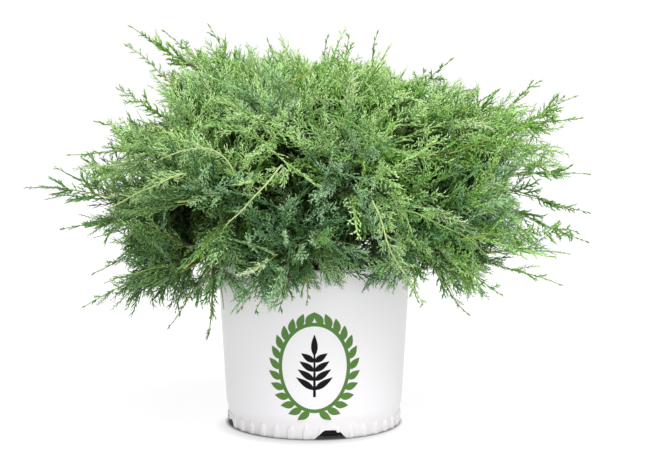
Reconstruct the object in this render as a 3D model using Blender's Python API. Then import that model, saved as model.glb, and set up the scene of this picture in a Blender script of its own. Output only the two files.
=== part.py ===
"""A spreading Chinese juniper in a white plastic nursery pot, as a Blender model in metres, +Z up.

The origin is the middle of the pot's flat underside, and the widest side of the crown runs along X.
A short trunk stands on the potting mix and carries a spiral of boughs. Each bough ends at one mass
of foliage: a stem with forking twigs, toothed sprays of scale leaves on them and a smaller dense core.
Every mass keeps to its own sector of the crown, so no two of them touch.
"""

import math
import random

import bmesh
import bpy
from mathutils import Matrix, Vector

# Pot: a 280 mm nursery pot with a rolled lip, fluted foot and four drain notches
POT_HEIGHT = 0.2385
POT_RIM_RADIUS = 0.1395
POT_FOOT_RADIUS = 0.1256
POT_WALL = 0.0025
POT_FLOOR = 0.0030
POT_FOOT_ROUND = 0.002
LIP_OUT = 0.0016
LIP_HEIGHT = 0.0070
LIP_ROUND = 0.0010
FLUTES = 36
FLUTE_DEPTH = 0.0016
FLUTE_HEIGHT = 0.0240
NOTCHES = 4
NOTCH_TURN = math.radians(-79)
NOTCH_FOOT_WIDTH = 0.046
NOTCH_TOP_WIDTH = 0.024
NOTCH_HEIGHT = 0.013
NOTCH_DEPTH = 0.018

# Potting mix and trunk
GAP = 0.0003
MIX_TOP = 0.2165
MIX_ROUND = 0.004
MIX_SIDES = 40
TRUNK_HEIGHT = 0.130
TRUNK_FOOT_RADIUS = 0.0150
TRUNK_TIP_RADIUS = 0.0075
FLARE_OUT = 0.0060
FLARE_HEIGHT = 0.0100
FLARE_LOBES = 5
TRUNK_SIDES = 12
TRUNK_LEAN = Vector((0.010, -0.006, 0.0))

# Crown: where its limbs spread from, and how far its tips reach at each slope
CROWN_CENTRE = Vector((0.0, 0.0, 0.305))
DROOP = 0.55  # metres that a level shoot sinks in its first metre, and four times that in two
SLOPES = (-45, -30, -15, 0, 15, 30, 45, 60, 75, 90)
REACH_RIGHT = (0.170, 0.235, 0.310, 0.362, 0.368, 0.335, 0.280, 0.248, 0.242, 0.240)
REACH_LEFT = (0.190, 0.255, 0.305, 0.335, 0.335, 0.322, 0.308, 0.278, 0.248, 0.240)
REACH_FRONT = (0.155, 0.195, 0.268, 0.305, 0.315, 0.310, 0.275, 0.250, 0.245, 0.240)
REACH_BACK = (0.200, 0.250, 0.295, 0.325, 0.330, 0.320, 0.290, 0.260, 0.245, 0.240)

# The long shoots that stand out of the crown: where each tip is
LONG_TIPS = (
    (-0.411, -0.03, 0.343),
    (-0.375, 0.05, 0.276),
    (-0.309, -0.08, 0.226),
    (-0.316, -0.12, 0.185),
    (-0.202, -0.10, 0.153),
    (-0.146, -0.13, 0.142),
    (-0.267, 0.03, 0.574),
    (-0.276, -0.05, 0.484),
    (-0.328, 0.08, 0.435),
    (-0.351, -0.02, 0.389),
    (-0.226, 0.10, 0.570),
    (-0.150, 0.00, 0.574),
    (-0.070, 0.08, 0.556),
    (0.020, 0.02, 0.560),
    (0.049, -0.05, 0.557),
    (0.093, 0.05, 0.567),
    (0.167, 0.10, 0.510),
    (0.198, 0.00, 0.526),
    (0.256, -0.08, 0.482),
    (0.334, 0.06, 0.495),
    (0.377, 0.00, 0.473),
    (0.373, -0.07, 0.443),
    (0.402, 0.03, 0.359),
    (0.388, -0.06, 0.310),
    (0.409, 0.07, 0.255),
    (0.351, -0.05, 0.206),
    (0.256, -0.14, 0.204),
    (0.216, -0.10, 0.171),
    (0.139, -0.19, 0.202),
    (-0.075, -0.24, 0.196),
    (-0.100, -0.20, 0.190),
    (-0.045, -0.215, 0.194),
    (-0.008, -0.222, 0.204),
    (0.020, -0.345, 0.300),
    (-0.160, -0.290, 0.260),
    (0.175, 0.320, 0.240),
    (-0.120, 0.360, 0.310),
    (-0.230, 0.270, 0.420),
    (0.120, 0.300, 0.480),
)

# Masses of foliage and the limbs that carry them
MASSES = 21
SEED = 7
FIRST_AZIMUTH = math.radians(212)
LOWEST_SLOPE = math.radians(-14)
GOLDEN_ANGLE = math.radians(137.508)
SKIRT_BELOW = math.radians(9)
TOP_ABOVE = math.radians(38)
MASS_START = 0.115
SKIRT_START = 0.152
STEM_LENGTH = 0.012
STEM_SUNK = 0.020
STEM_RADIUS = 0.0034
BOUGH_FOOT_RADII = (0.0062, 0.0042)  # of the lowest and the highest
BOUGH_SIDES = 6
BOUGH_RINGS = 5
LOWEST_BOUGH = 0.021  # above the potting mix
HIGHEST_BOUGH = 0.122
WIDEST_SPREAD = math.radians(33)
LOWEST_SHOOT = math.radians(-43)
TWIGS = 6
FORK_AT = 0.15  # where a side spray leaves a twig, as a share of its outer half
FORK_EVERY = 2
TWIG_SPREAD = 0.82
TWIG_BEND = 0.66  # where a twig bends, as a share of the way to its tip
TWIG_RADIUS = 0.0026

# Dense core of a mass
CORE_SIDES = 8
CORE_STATIONS = ((0.0, 0.75), (0.25, 0.95), (0.75, 1.00), (1.0, 0.60))  # along, and share of width
CORE_WIDTH = 0.93
CORE_REACH = 0.74
SHOOT_LENGTHS = (0.030, 0.060)
SHORTEST_SHOOT = 0.012

# A spray: a flat toothed blade, along and across as shares of its length and half width
SPRAY_OUTLINE = (
    (0.00, -0.03), (0.55, -1.00), (0.46, -0.22), (0.82, -0.50), (1.00, 0.00),
    (0.66, 0.17), (0.74, 0.64), (0.36, 0.22), (0.42, 1.00), (0.00, 0.03),
)
SPRAY_CROWN = 0.26
SPRAY_THICKNESS = 0.0030
END_SPRAY = 0.092
SIDE_SPRAY = 0.105
SPRAY_SLENDERNESS = 0.23  # half width as a share of the length
SIDE_SPRAY_TURN = math.radians(40)

# Corners this close are made one after a union, which is drawn again a few times if it isn't sound
WELD = 0.00002
ATTEMPTS = 12

# Room that each mass leaves to its neighbours and to the pot
SECTOR_MARGIN = 0.0022
POT_MARGIN = 0.0030
CORE_POT_MARGIN = 0.0080
EDGE_STEPS = 10

COLOURS = {
    "pot_white": ((0.86, 0.86, 0.88, 1.0), 0.38),
    "potting_mix": ((0.045, 0.030, 0.020, 1.0), 0.95),
    "bark": ((0.230, 0.130, 0.080, 1.0), 0.85),
    "foliage": ((0.130, 0.260, 0.090, 1.0), 0.60),
}


def clear_scene():
    for obj in list(bpy.data.objects):
        bpy.data.objects.remove(obj)


def material(name):
    made = bpy.data.materials.get(name)
    if made is None:
        made = bpy.data.materials.new(name)
        made.use_nodes = True
        shader = made.node_tree.nodes["Principled BSDF"]
        colour, roughness = COLOURS[name]
        shader.inputs["Base Color"].default_value = colour
        shader.inputs["Roughness"].default_value = roughness
        shader.inputs["Metallic"].default_value = 0.0
    return made


def new_object(name, mesh, finish):
    mesh.materials.append(material(finish))
    obj = bpy.data.objects.new(name, mesh)
    bpy.context.scene.collection.objects.link(obj)
    return obj


def mesh_from(name, points, faces):
    mesh = bpy.data.meshes.new(name)
    mesh.from_pydata([tuple(p) for p in points], [], faces)
    mesh.validate()
    return mesh


def hide_as_helper(obj):
    obj.hide_render = True
    obj.display_type = "WIRE"


def cut(obj, cutter):
    hide_as_helper(cutter)
    boolean = obj.modifiers.new("cut", "BOOLEAN")
    boolean.operation = "DIFFERENCE"
    boolean.object = cutter


# Pot


def pot_radius(height):
    """Outer radius of the pot's straight tapering side."""
    return POT_FOOT_RADIUS + (POT_RIM_RADIUS - POT_FOOT_RADIUS) * height / POT_HEIGHT


def pot_inside(height):
    """Inner radius of the pot's wall."""
    foot = POT_FOOT_RADIUS - POT_WALL - FLUTE_DEPTH
    share = (height - POT_FLOOR) / (POT_HEIGHT - POT_FLOOR)
    return foot + (POT_RIM_RADIUS - POT_WALL - foot) * share


def flute_ring(height, radius, depth):
    """A ring with one low and one high corner for each flute."""
    ring = []
    for corner in range(2 * FLUTES):
        angle = math.pi * corner / FLUTES
        r = radius - depth * (corner % 2)
        ring.append(Vector((r * math.cos(angle), r * math.sin(angle), height)))
    return ring


def join_rings(rings):
    """Points and faces of a closed solid through the rings, from its first cap to its last."""
    sides = len(rings[0])
    points = [p for ring in rings for p in ring]
    faces = [tuple(reversed(range(sides)))]
    for k in range(len(rings) - 1):
        low, high = k * sides, (k + 1) * sides
        for i in range(sides):
            n = (i + 1) % sides
            faces.append((low + i, low + n, high + n, high + i))
    last = (len(rings) - 1) * sides
    faces.append(tuple(last + i for i in range(sides)))
    return points, faces


def notch_cutter(index):
    """A prism with sloping ends that opens the foot of the wall for drainage."""
    angle = NOTCH_TURN + 2 * math.pi * index / NOTCHES
    low, high = -0.005, NOTCH_HEIGHT
    inner, outer = pot_radius(0) - NOTCH_DEPTH, pot_radius(0) + 0.02
    ends = []
    for r in (inner, outer):
        ends.append([
            Vector((r, -NOTCH_FOOT_WIDTH / 2, low)),
            Vector((r, NOTCH_FOOT_WIDTH / 2, low)),
            Vector((r, NOTCH_FOOT_WIDTH / 2, 0.001)),
            Vector((r, NOTCH_TOP_WIDTH / 2, high)),
            Vector((r, -NOTCH_TOP_WIDTH / 2, high)),
            Vector((r, -NOTCH_FOOT_WIDTH / 2, 0.001)),
        ])
    points, faces = join_rings(ends)
    cutter = new_object("notch_cutter_%d" % index, mesh_from("notch", points, faces), "pot_white")
    cutter.rotation_euler.z = angle
    return cutter


def build_pot():
    lip_foot = POT_HEIGHT - LIP_HEIGHT
    outer = (
        (0.0, POT_FOOT_RADIUS - POT_FOOT_ROUND, FLUTE_DEPTH * 0.6),
        (POT_FOOT_ROUND, pot_radius(POT_FOOT_ROUND), FLUTE_DEPTH),
        (FLUTE_HEIGHT * 0.85, pot_radius(FLUTE_HEIGHT), FLUTE_DEPTH),
        (FLUTE_HEIGHT, pot_radius(FLUTE_HEIGHT), 0.0),
        (lip_foot, pot_radius(lip_foot), 0.0),
        (lip_foot + LIP_ROUND, POT_RIM_RADIUS + LIP_OUT, 0.0),
        (POT_HEIGHT - LIP_ROUND, POT_RIM_RADIUS + LIP_OUT, 0.0),
        (POT_HEIGHT, POT_RIM_RADIUS + LIP_OUT * 0.3, 0.0),
    )
    inner = tuple((height, pot_inside(height), 0.0) for height in (POT_HEIGHT, POT_FLOOR))
    rings = [flute_ring(z, r, depth) for z, r, depth in outer + inner]
    points, faces = join_rings(rings)
    pot = new_object("pot", mesh_from("pot", points, faces), "pot_white")
    for index in range(NOTCHES):
        cut(pot, notch_cutter(index))
    pot.data.shade_smooth()
    pot.data.set_sharp_from_angle(angle=math.radians(30))
    return pot


def build_potting_mix():
    """The root ball's growing medium, which fills the pot to just under its lip."""
    levels = ((POT_FLOOR + GAP, 0.0), (MIX_TOP - MIX_ROUND, 0.0), (MIX_TOP, 1.5 * MIX_ROUND))
    rings = []
    for height, inset in levels:
        r = (pot_inside(height) - 2 * GAP) * math.cos(math.pi / (2 * FLUTES)) - inset
        rings.append([
            Vector((r * math.cos(a), r * math.sin(a), height))
            for a in (2 * math.pi * i / MIX_SIDES for i in range(MIX_SIDES))
        ])
    points, faces = join_rings(rings)
    return new_object("potting_mix", mesh_from("potting_mix", points, faces), "potting_mix")


# Limbs


def trunk_axis(height):
    """The middle of the trunk at a height above the potting mix."""
    share = height / TRUNK_HEIGHT
    return Vector((0, 0, MIX_TOP + GAP + height)) + TRUNK_LEAN * share * share


def trunk_radius(height):
    share = height / TRUNK_HEIGHT
    return TRUNK_FOOT_RADIUS + (TRUNK_TIP_RADIUS - TRUNK_FOOT_RADIUS) * share


def trunk_solid(extra):
    """Points and faces of the trunk, grown by extra all round for cutting what meets it."""
    rings = []
    for share in (0, 0.04, 0.11, 0.25, 0.50, 0.75, 0.96, 1.0):
        height = share * TRUNK_HEIGHT
        flare = FLARE_OUT * math.exp(-height / FLARE_HEIGHT)
        shrink = 0.55 if share == 1.0 else 1.0
        centre = trunk_axis(height)
        if share in (0, 1.0):
            centre.z += extra * (1 if share else -1)
        ring = []
        for i in range(TRUNK_SIDES):
            a = 2 * math.pi * i / TRUNK_SIDES
            lobes = 1 + 0.5 * math.cos(FLARE_LOBES * a)
            r = trunk_radius(height) * shrink + flare * lobes + extra
            ring.append(centre + Vector((r * math.cos(a), r * math.sin(a), 0)))
        rings.append(ring)
    return join_rings(rings)


def ring_around(centre, along, radius, sides):
    """A ring of points square to a direction."""
    turn = along.normalized().to_track_quat("Z", "Y").to_matrix()
    return [
        centre + turn @ Vector((radius * math.cos(a), radius * math.sin(a), 0))
        for a in (2 * math.pi * i / sides for i in range(sides))
    ]


def tube(path, radii, sides, first=None, last=None):
    """Points and faces of a tapering limb along a path. Its ends can be cut square to a direction."""
    rings = []
    for k, centre in enumerate(path):
        along = path[min(k + 1, len(path) - 1)] - path[max(k - 1, 0)]
        if k == 0 and first:
            along = first
        if k == len(path) - 1 and last:
            along = last
        rings.append(ring_around(centre, along, radii[k], sides))
    return join_rings(rings)


# Crown: sectors, reach and droop


def unit(slope, azimuth):
    return Vector((
        math.cos(slope) * math.cos(azimuth),
        math.cos(slope) * math.sin(azimuth),
        math.sin(slope),
    ))


def mass_directions():
    """The masses' axes, evenly spread over the dome in a golden-angle spiral from skirt to top."""
    found = []
    lowest = math.sin(LOWEST_SLOPE)
    for i in range(MASSES):
        rise = lowest + (1 - lowest) * (i + 0.5) / MASSES
        found.append(unit(math.asin(rise), FIRST_AZIMUTH + i * GOLDEN_ANGLE))
    return found


DIRECTIONS = mass_directions()


def drooped(direction, distance):
    """Where a shoot that sets out from the crown's centre has arched to at a distance."""
    p = CROWN_CENTRE + direction * distance
    p.z -= DROOP * (p.x * p.x + p.y * p.y)
    return p


def heading(direction, distance):
    """The way that an arching shoot points at a distance."""
    step = 0.001
    return (drooped(direction, distance + step) - drooped(direction, distance - step)).normalized()


def undrooped(point):
    """The straight line from the crown's centre on which an arching shoot reaches a point."""
    v = point - CROWN_CENTRE
    return Vector((v.x, v.y, v.z + DROOP * (point.x * point.x + point.y * point.y)))


def at_slope(profile, slope):
    """A reach read off one of the crown's profiles."""
    slope = min(max(slope, SLOPES[0]), SLOPES[-1])
    for k in range(len(SLOPES) - 1):
        if slope <= SLOPES[k + 1]:
            share = (slope - SLOPES[k]) / (SLOPES[k + 1] - SLOPES[k])
            return profile[k] + (profile[k + 1] - profile[k]) * share
    return profile[-1]


def outline_reach(v):
    """How far the crown reaches from its centre towards v."""
    level = math.hypot(v.x, v.y)
    slope = math.degrees(math.atan2(v.z, level))
    across = (v.x / level) ** 2 if level > 1e-9 else 0.5
    side = at_slope(REACH_RIGHT if v.x > 0 else REACH_LEFT, slope)
    depth = at_slope(REACH_BACK if v.y > 0 else REACH_FRONT, slope)
    return side * across + depth * (1 - across)


def crown_reach(direction):
    """The distance along an arching shoot at which it meets the crown's outline."""
    distance = 0.3
    for _ in range(12):
        v = drooped(direction, distance) - CROWN_CENTRE
        distance *= outline_reach(v) / v.length
    return distance


def owner(v):
    """The mass in whose sector a straightened point lies."""
    return max(range(MASSES), key=lambda i: v.dot(DIRECTIONS[i]))


def in_sector(index, v):
    """True if v is inside the sector of a mass, by the margin that keeps masses apart."""
    axis = DIRECTIONS[index]
    for other, direction in enumerate(DIRECTIONS):
        if other != index:
            across = axis - direction
            if v.dot(across) < SECTOR_MARGIN * across.length:
                return False
    return True


def border_angle(index, sideways):
    """The angle from a mass's axis to its sector's border, turning towards sideways."""
    axis = DIRECTIONS[index]
    nearest = WIDEST_SPREAD
    for other, direction in enumerate(DIRECTIONS):
        across = axis - direction
        if other != index and sideways.dot(across) < 0:
            nearest = min(nearest, math.atan2(axis.dot(across), -sideways.dot(across)))
    return nearest


def spread_direction(index, share, bearing):
    """A direction at a share of the way from a mass's axis to its border, at a bearing round it."""
    axis = DIRECTIONS[index]
    up = (Vector((0, 0, 1)) - axis * axis.z).normalized()
    sideways = up * math.cos(bearing) + axis.cross(up) * math.sin(bearing)
    angle = share * border_angle(index, sideways)
    while True:
        direction = axis * math.cos(angle) + sideways * math.sin(angle)
        if direction.z >= math.sin(LOWEST_SHOOT):
            return direction
        angle *= 0.9


def within_outline(point):
    v = point - CROWN_CENTRE
    return v.length < outline_reach(v)


def clear_of_pot(point, margin):
    if point.z > POT_HEIGHT + margin:
        return True
    return math.hypot(point.x, point.y) > POT_RIM_RADIUS + LIP_OUT + margin


# Masses of foliage


def mass_start(index):
    slope = math.asin(DIRECTIONS[index].z)
    if slope < SKIRT_BELOW:
        return SKIRT_START
    return MASS_START


def mass_twigs(index, draw):
    """The twigs of a mass by its seeded rule: foot on the stem, middle and tip, each as a direction
    from the crown's centre and a distance along it. The long shoots come first."""
    axis = DIRECTIONS[index]
    ends = []
    for tip in LONG_TIPS:
        v = undrooped(Vector(tip))
        if owner(v) == index:
            ends.append((v.normalized(), v.length))
    fillers = max(TWIGS - len(ends), 2)
    for j in range(fillers):
        share = TWIG_SPREAD * math.sqrt((j + 0.6) / fillers)
        bearing = j * GOLDEN_ANGLE + draw.uniform(-0.5, 0.5)
        direction = spread_direction(index, share, bearing)
        ends.append((direction, crown_reach(direction) * draw.uniform(0.84, 0.97)))
    twigs = []
    for direction, distance in ends:
        foot = max(mass_start(index) + STEM_SUNK, distance * draw.uniform(0.40, 0.50))
        middle = axis.lerp(direction, 0.72).normalized()
        twigs.append(((axis, foot), (middle, distance * TWIG_BEND), (direction, distance)))
    return twigs


def fits(index, points, faces):
    """True if a solid's corners are in the mass's sector and its edges are clear of the pot."""
    if not all(in_sector(index, undrooped(p)) for p in points):
        return False
    for face in faces:
        for a, b in zip(face, face[1:] + face[:1]):
            if a < b and not all(
                clear_of_pot(points[a].lerp(points[b], k / EDGE_STEPS), POT_MARGIN)
                for k in range(EDGE_STEPS + 1)
            ):
                return False
    return True


def spray(foot, along, flat, length, slenderness):
    """Points and faces of one toothed blade that stands for a spray of scale leaves."""
    along = along.normalized()
    across = flat.cross(along).normalized()
    normal = along.cross(across)
    half = length * slenderness
    points = [foot + along * (length * x) + across * (half * y) for x, y in SPRAY_OUTLINE]
    crown = foot + along * (length * SPRAY_CROWN)
    points += [crown + normal * SPRAY_THICKNESS / 2, crown - normal * SPRAY_THICKNESS / 2]
    sides = len(SPRAY_OUTLINE)
    faces = []
    for i in range(sides):
        n = (i + 1) % sides
        faces += [(i, n, sides), (n, i, sides + 1)]
    return points, faces


def fitted_spray(index, tip, along, draw, length):
    """A spray that ends at tip and keeps to the mass's sector, made slimmer or shorter if it must."""
    along = along.normalized()
    for slenderness, share in ((1, 1), (0.7, 1), (0.45, 1), (0.7, 0.75), (0.25, 0.75), (0.2, 0.5)):
        flat = Matrix.Rotation(draw.uniform(0, math.pi), 3, along) @ along.orthogonal()
        reach = length * share
        foot = tip - along * reach
        points, faces = spray(foot, along, flat, reach, SPRAY_SLENDERNESS * slenderness)
        if fits(index, points, faces):
            return points, faces
    return None


def side_spray(index, foot, along, draw, length):
    """A spray that leaves a twig at its fork angle, or None where it has no room."""
    for _ in range(5):
        axis = Matrix.Rotation(draw.uniform(0, 2 * math.pi), 3, along) @ along.orthogonal()
        aim = Matrix.Rotation(SIDE_SPRAY_TURN, 3, axis) @ along
        points, faces = spray(foot, aim, axis, length, SPRAY_SLENDERNESS)
        if within_outline(foot + aim * length) and fits(index, points, faces):
            return points, faces
        length *= 0.88
    return None


def twig_solid(path, foot_radius):
    """A three-sided twig that tapers from the stem to a point."""
    rings = [
        ring_around(path[0], path[1] - path[0], foot_radius, 3),
        ring_around(path[1], path[2] - path[0], foot_radius * 0.7, 3),
    ]
    points = rings[0] + rings[1] + [path[2]]
    faces = [(2, 1, 0)]
    for i in range(3):
        n = (i + 1) % 3
        faces += [(i, n, 3 + n, 3 + i), (3 + i, 3 + n, 6)]
    return points, faces


def core_rings(index, draw):
    """Rings of the dense inside of a mass, which fills its sector and stays clear of the pot."""
    start = mass_start(index)
    end = CORE_REACH * crown_reach(DIRECTIONS[index])
    rings = []
    for share, width in CORE_STATIONS:
        distance = start + (end - start) * share
        ring = []
        for k in range(CORE_SIDES):
            bearing = 2 * math.pi * k / CORE_SIDES
            spread = CORE_WIDTH * width * draw.uniform(0.92, 1.0)
            while True:
                point = drooped(spread_direction(index, spread, bearing), distance)
                if clear_of_pot(point, CORE_POT_MARGIN) or spread < 0.02:
                    break
                spread *= 0.85
            ring.append(point)
        rings.append(ring)
    return rings


def shoot_tip(index, corners, draw):
    """The tip of a short shoot that rises from a face of the core, or None where it has no room."""
    middle = sum(corners, Vector()) / 3
    square = (corners[1] - corners[0]).cross(corners[2] - corners[0]).normalized()
    outward = undrooped(middle).normalized()
    outward = heading(outward, undrooped(middle).length)
    aim = (outward + square * draw.uniform(0.2, 0.7)).normalized()
    length = draw.uniform(*SHOOT_LENGTHS)
    while length > SHORTEST_SHOOT:
        tip = middle + aim * length
        if (
            within_outline(tip)
            and in_sector(index, undrooped(tip))
            and clear_of_pot(tip, CORE_POT_MARGIN)
            and (tip - middle).dot(square) > SHORTEST_SHOOT / 3
        ):
            return tip
        length *= 0.75
    return None


def core_solid(index, draw):
    """The dense inside of a mass, with a short shoot on each face that looks outward."""
    rings = core_rings(index, draw)
    points, faces = join_rings(rings)
    bare = faces[:1 + CORE_SIDES]
    for face in faces[1 + CORE_SIDES:]:
        for k in range(1, len(face) - 1):
            corners = (face[0], face[k], face[k + 1])
            tip = shoot_tip(index, [points[c] for c in corners], draw)
            if tip:
                points.append(tip)
                last = len(points) - 1
                bare += [(corners[j], corners[(j + 1) % 3], last) for j in range(3)]
            else:
                bare.append(corners)
    return points, bare


def stem_solid(index):
    """The short stem that shows between a bough's tip and the mass's core."""
    axis = DIRECTIONS[index]
    start = mass_start(index)
    distances = (start - STEM_LENGTH, start + STEM_SUNK)
    path = [drooped(axis, s) for s in distances]
    return tube(path, (STEM_RADIUS, STEM_RADIUS), BOUGH_SIDES, first=heading(axis, distances[0]))


def keep_largest_body(work):
    """Drops loose scraps and fills sealed hollows that the union leaves."""
    left = set(work.faces)
    bodies = []
    while left:
        front = [left.pop()]
        body = list(front)
        while front:
            for edge in front.pop().edges:
                for face in edge.link_faces:
                    if face in left:
                        left.remove(face)
                        front.append(face)
                        body.append(face)
        bodies.append(body)
    bodies.sort(key=len, reverse=True)
    for body in bodies[1:]:
        bmesh.ops.delete(work, geom=body, context="FACES")


def mass_name(index):
    slope = math.asin(DIRECTIONS[index].z)
    if slope < SKIRT_BELOW:
        return "foliage_skirt_%02d" % (index + 1)
    if slope < TOP_ABOVE:
        return "foliage_middle_%02d" % (index + 1)
    return "foliage_top_%02d" % (index + 1)


def mass_pieces(index, draw):
    """Stem, twigs and sprays of a mass, as closed solids that sink into each other."""
    pieces = [stem_solid(index)]
    for number, twig in enumerate(mass_twigs(index, draw)):
        foot, middle, end = (drooped(*place) for place in twig)
        along = (end - middle).normalized()
        path = (foot, middle, end - along * END_SPRAY * 0.7)
        solid = twig_solid(path, TWIG_RADIUS)
        if not fits(index, *solid):
            solid = twig_solid(path, TWIG_RADIUS * 0.6)
        if fits(index, *solid):
            pieces.append(solid)
        pieces.append(fitted_spray(index, end, along, draw, END_SPRAY))
        if number % FORK_EVERY == 0:
            foot = path[1].lerp(path[2], FORK_AT)
            length = SIDE_SPRAY * draw.uniform(0.85, 1.1)
            pieces.append(side_spray(index, foot, along, draw, length))
    return [piece for piece in pieces if piece]


def join_mass(name, index, seed):
    """One draw of a mass as a single mesh, and whether each of its edges joins just two faces."""
    draw = random.Random(seed)
    parts = bpy.data.collections.new(name + "_parts")
    bpy.context.scene.collection.children.link(parts)
    core = new_object(name, mesh_from(name, *core_solid(index, draw)), "foliage")
    for number, (points, faces) in enumerate(mass_pieces(index, draw)):
        mesh = mesh_from("%s_part_%d" % (name, number), points, faces)
        parts.objects.link(bpy.data.objects.new(mesh.name, mesh))
    union = core.modifiers.new("join", "BOOLEAN")
    union.operation = "UNION"
    union.operand_type = "COLLECTION"
    union.collection = parts
    graph = bpy.context.evaluated_depsgraph_get()
    joined = bpy.data.meshes.new_from_object(core.evaluated_get(graph))
    for obj in list(parts.objects) + [core]:
        bpy.data.objects.remove(obj)
    bpy.data.collections.remove(parts)
    work = bmesh.new()
    work.from_mesh(joined)
    bmesh.ops.remove_doubles(work, verts=work.verts, dist=WELD)
    bmesh.ops.triangulate(work, faces=work.faces)
    keep_largest_body(work)
    sound = all(len(edge.link_faces) == 2 for edge in work.edges)
    work.to_mesh(joined)
    work.free()
    joined.materials.clear()
    return joined, sound


def build_mass(index):
    """One mass of foliage: its rule is drawn again where the union leaves faces that touch."""
    name = mass_name(index)
    for attempt in range(ATTEMPTS):
        joined, sound = join_mass(name, index, SEED * 1000 + index + 100 * attempt)
        if sound:
            break
    return new_object(name, joined, "foliage")


def bough_heading(index):
    """The way a bough points at its tip, which the stem of its mass takes up."""
    return heading(DIRECTIONS[index], mass_start(index) - STEM_LENGTH)


def bough_path(index):
    """From the trunk's middle, up and over the pot's lip, to where the mass's stem begins."""
    axis = DIRECTIONS[index]
    share = index / (MASSES - 1)
    height = LOWEST_BOUGH + (HIGHEST_BOUGH - LOWEST_BOUGH) * share
    foot = trunk_axis(height)
    along = bough_heading(index)
    end = drooped(axis, mass_start(index) - STEM_LENGTH) - along * GAP
    length = (end - foot).length
    level = Vector((axis.x, axis.y, 0)).normalized()
    rise = math.radians(32 + 20 * share)
    leave = (level * math.cos(rise) + Vector((0, 0, math.sin(rise)))) * length
    arrive = along * length
    path = []
    for k in range(BOUGH_RINGS):
        t = k / (BOUGH_RINGS - 1)
        path.append(
            foot * (2 * t**3 - 3 * t**2 + 1)
            + leave * (t**3 - 2 * t**2 + t)
            + end * (-2 * t**3 + 3 * t**2)
            + arrive * (t**3 - t**2)
        )
    return path


def build_bough(index, trunk_cutter):
    path = bough_path(index)
    lowest, highest = BOUGH_FOOT_RADII
    foot_radius = lowest + (highest - lowest) * index / (MASSES - 1)
    radii = [
        foot_radius + (STEM_RADIUS - foot_radius) * k / (len(path) - 1) for k in range(len(path))
    ]
    points, faces = tube(path, radii, BOUGH_SIDES, last=bough_heading(index))
    bough = new_object("bough_%02d" % (index + 1), mesh_from("bough", points, faces), "bark")
    cut(bough, trunk_cutter)
    return bough


def build_all():
    clear_scene()
    build_pot()
    build_potting_mix()
    points, faces = trunk_solid(0)
    new_object("trunk", mesh_from("trunk", points, faces), "bark")
    points, faces = trunk_solid(GAP)
    trunk_cutter = new_object("trunk_cutter", mesh_from("trunk_cutter", points, faces), "bark")
    hide_as_helper(trunk_cutter)
    for index in range(MASSES):
        build_bough(index, trunk_cutter)
        build_mass(index)


build_all()
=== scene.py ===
"""A spreading Chinese juniper in a white nursery pot: its surfaces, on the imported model's frame."""

import math
import random

import bpy
import numpy as np
from mathutils import Matrix, Vector, noise


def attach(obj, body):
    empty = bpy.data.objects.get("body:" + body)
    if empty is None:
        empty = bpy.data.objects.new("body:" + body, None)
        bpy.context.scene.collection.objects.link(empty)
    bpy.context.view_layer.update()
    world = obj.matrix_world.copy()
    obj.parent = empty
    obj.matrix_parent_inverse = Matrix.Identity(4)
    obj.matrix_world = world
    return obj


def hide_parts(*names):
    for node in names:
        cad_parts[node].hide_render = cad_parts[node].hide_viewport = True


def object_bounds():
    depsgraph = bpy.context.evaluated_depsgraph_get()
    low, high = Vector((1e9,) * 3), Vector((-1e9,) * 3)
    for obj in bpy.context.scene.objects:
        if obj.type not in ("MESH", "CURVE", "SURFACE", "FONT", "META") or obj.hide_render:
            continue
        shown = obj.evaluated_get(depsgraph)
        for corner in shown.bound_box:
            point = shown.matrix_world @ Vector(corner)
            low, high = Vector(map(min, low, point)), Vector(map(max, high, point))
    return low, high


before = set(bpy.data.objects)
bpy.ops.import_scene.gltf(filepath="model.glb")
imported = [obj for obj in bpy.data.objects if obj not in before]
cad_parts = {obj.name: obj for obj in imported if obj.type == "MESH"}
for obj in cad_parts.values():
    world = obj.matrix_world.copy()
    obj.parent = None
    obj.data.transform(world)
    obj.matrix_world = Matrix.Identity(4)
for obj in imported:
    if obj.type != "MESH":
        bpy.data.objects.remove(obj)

cad_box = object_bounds()


# Camera. It stands level with the crown, a little over two metres away, and looks slightly down.
CAMERA_PLACE = (0.0122, -2.156, 0.486)
CAMERA_DIP = math.radians(5.56)
CAMERA_LENS = 83.5

camera = bpy.data.objects.new("camera", bpy.data.cameras.new("camera"))
camera.data.lens = CAMERA_LENS
camera.data.sensor_width = 36
camera.location = CAMERA_PLACE
camera.rotation_euler = (math.pi / 2 - CAMERA_DIP, 0, 0)
bpy.context.scene.collection.objects.link(camera)
bpy.context.scene.camera = camera


# Pot. A 280 mm nursery pot, blow moulded in white plastic: a thin tapering wall with a rolled lip,
# shallow flutes round its foot and four stepped drain notches.
POT_HEIGHT = 0.2385
POT_RIM_RADIUS = 0.1395
POT_FOOT_RADIUS = 0.1256
POT_WALL = 0.0025
POT_FLOOR = 0.0030
LIP_OUT = 0.0016
LIP_HEIGHT = 0.0070
FLUTES = 36
FLUTE_DEPTH = 0.0024
FLUTE_FADE = 0.036  # the height at which the wall between the ribs has come out to their faces
RIB_HEIGHT = 0.0185
RIB_WIDTH = 0.50  # as a share of the room that each has round the foot
RIB_EDGE = 0.24
FLUTE_STEPS = 20
NOTCHES = 4
NOTCH_TURN = math.radians(-79)
NOTCH_FOOT_WIDTH = 0.046
NOTCH_TOP_WIDTH = 0.024
NOTCH_HEIGHT = 0.0130
NOTCH_STEP = 0.0032
NOTCH_DEPTH = 0.018


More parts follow.
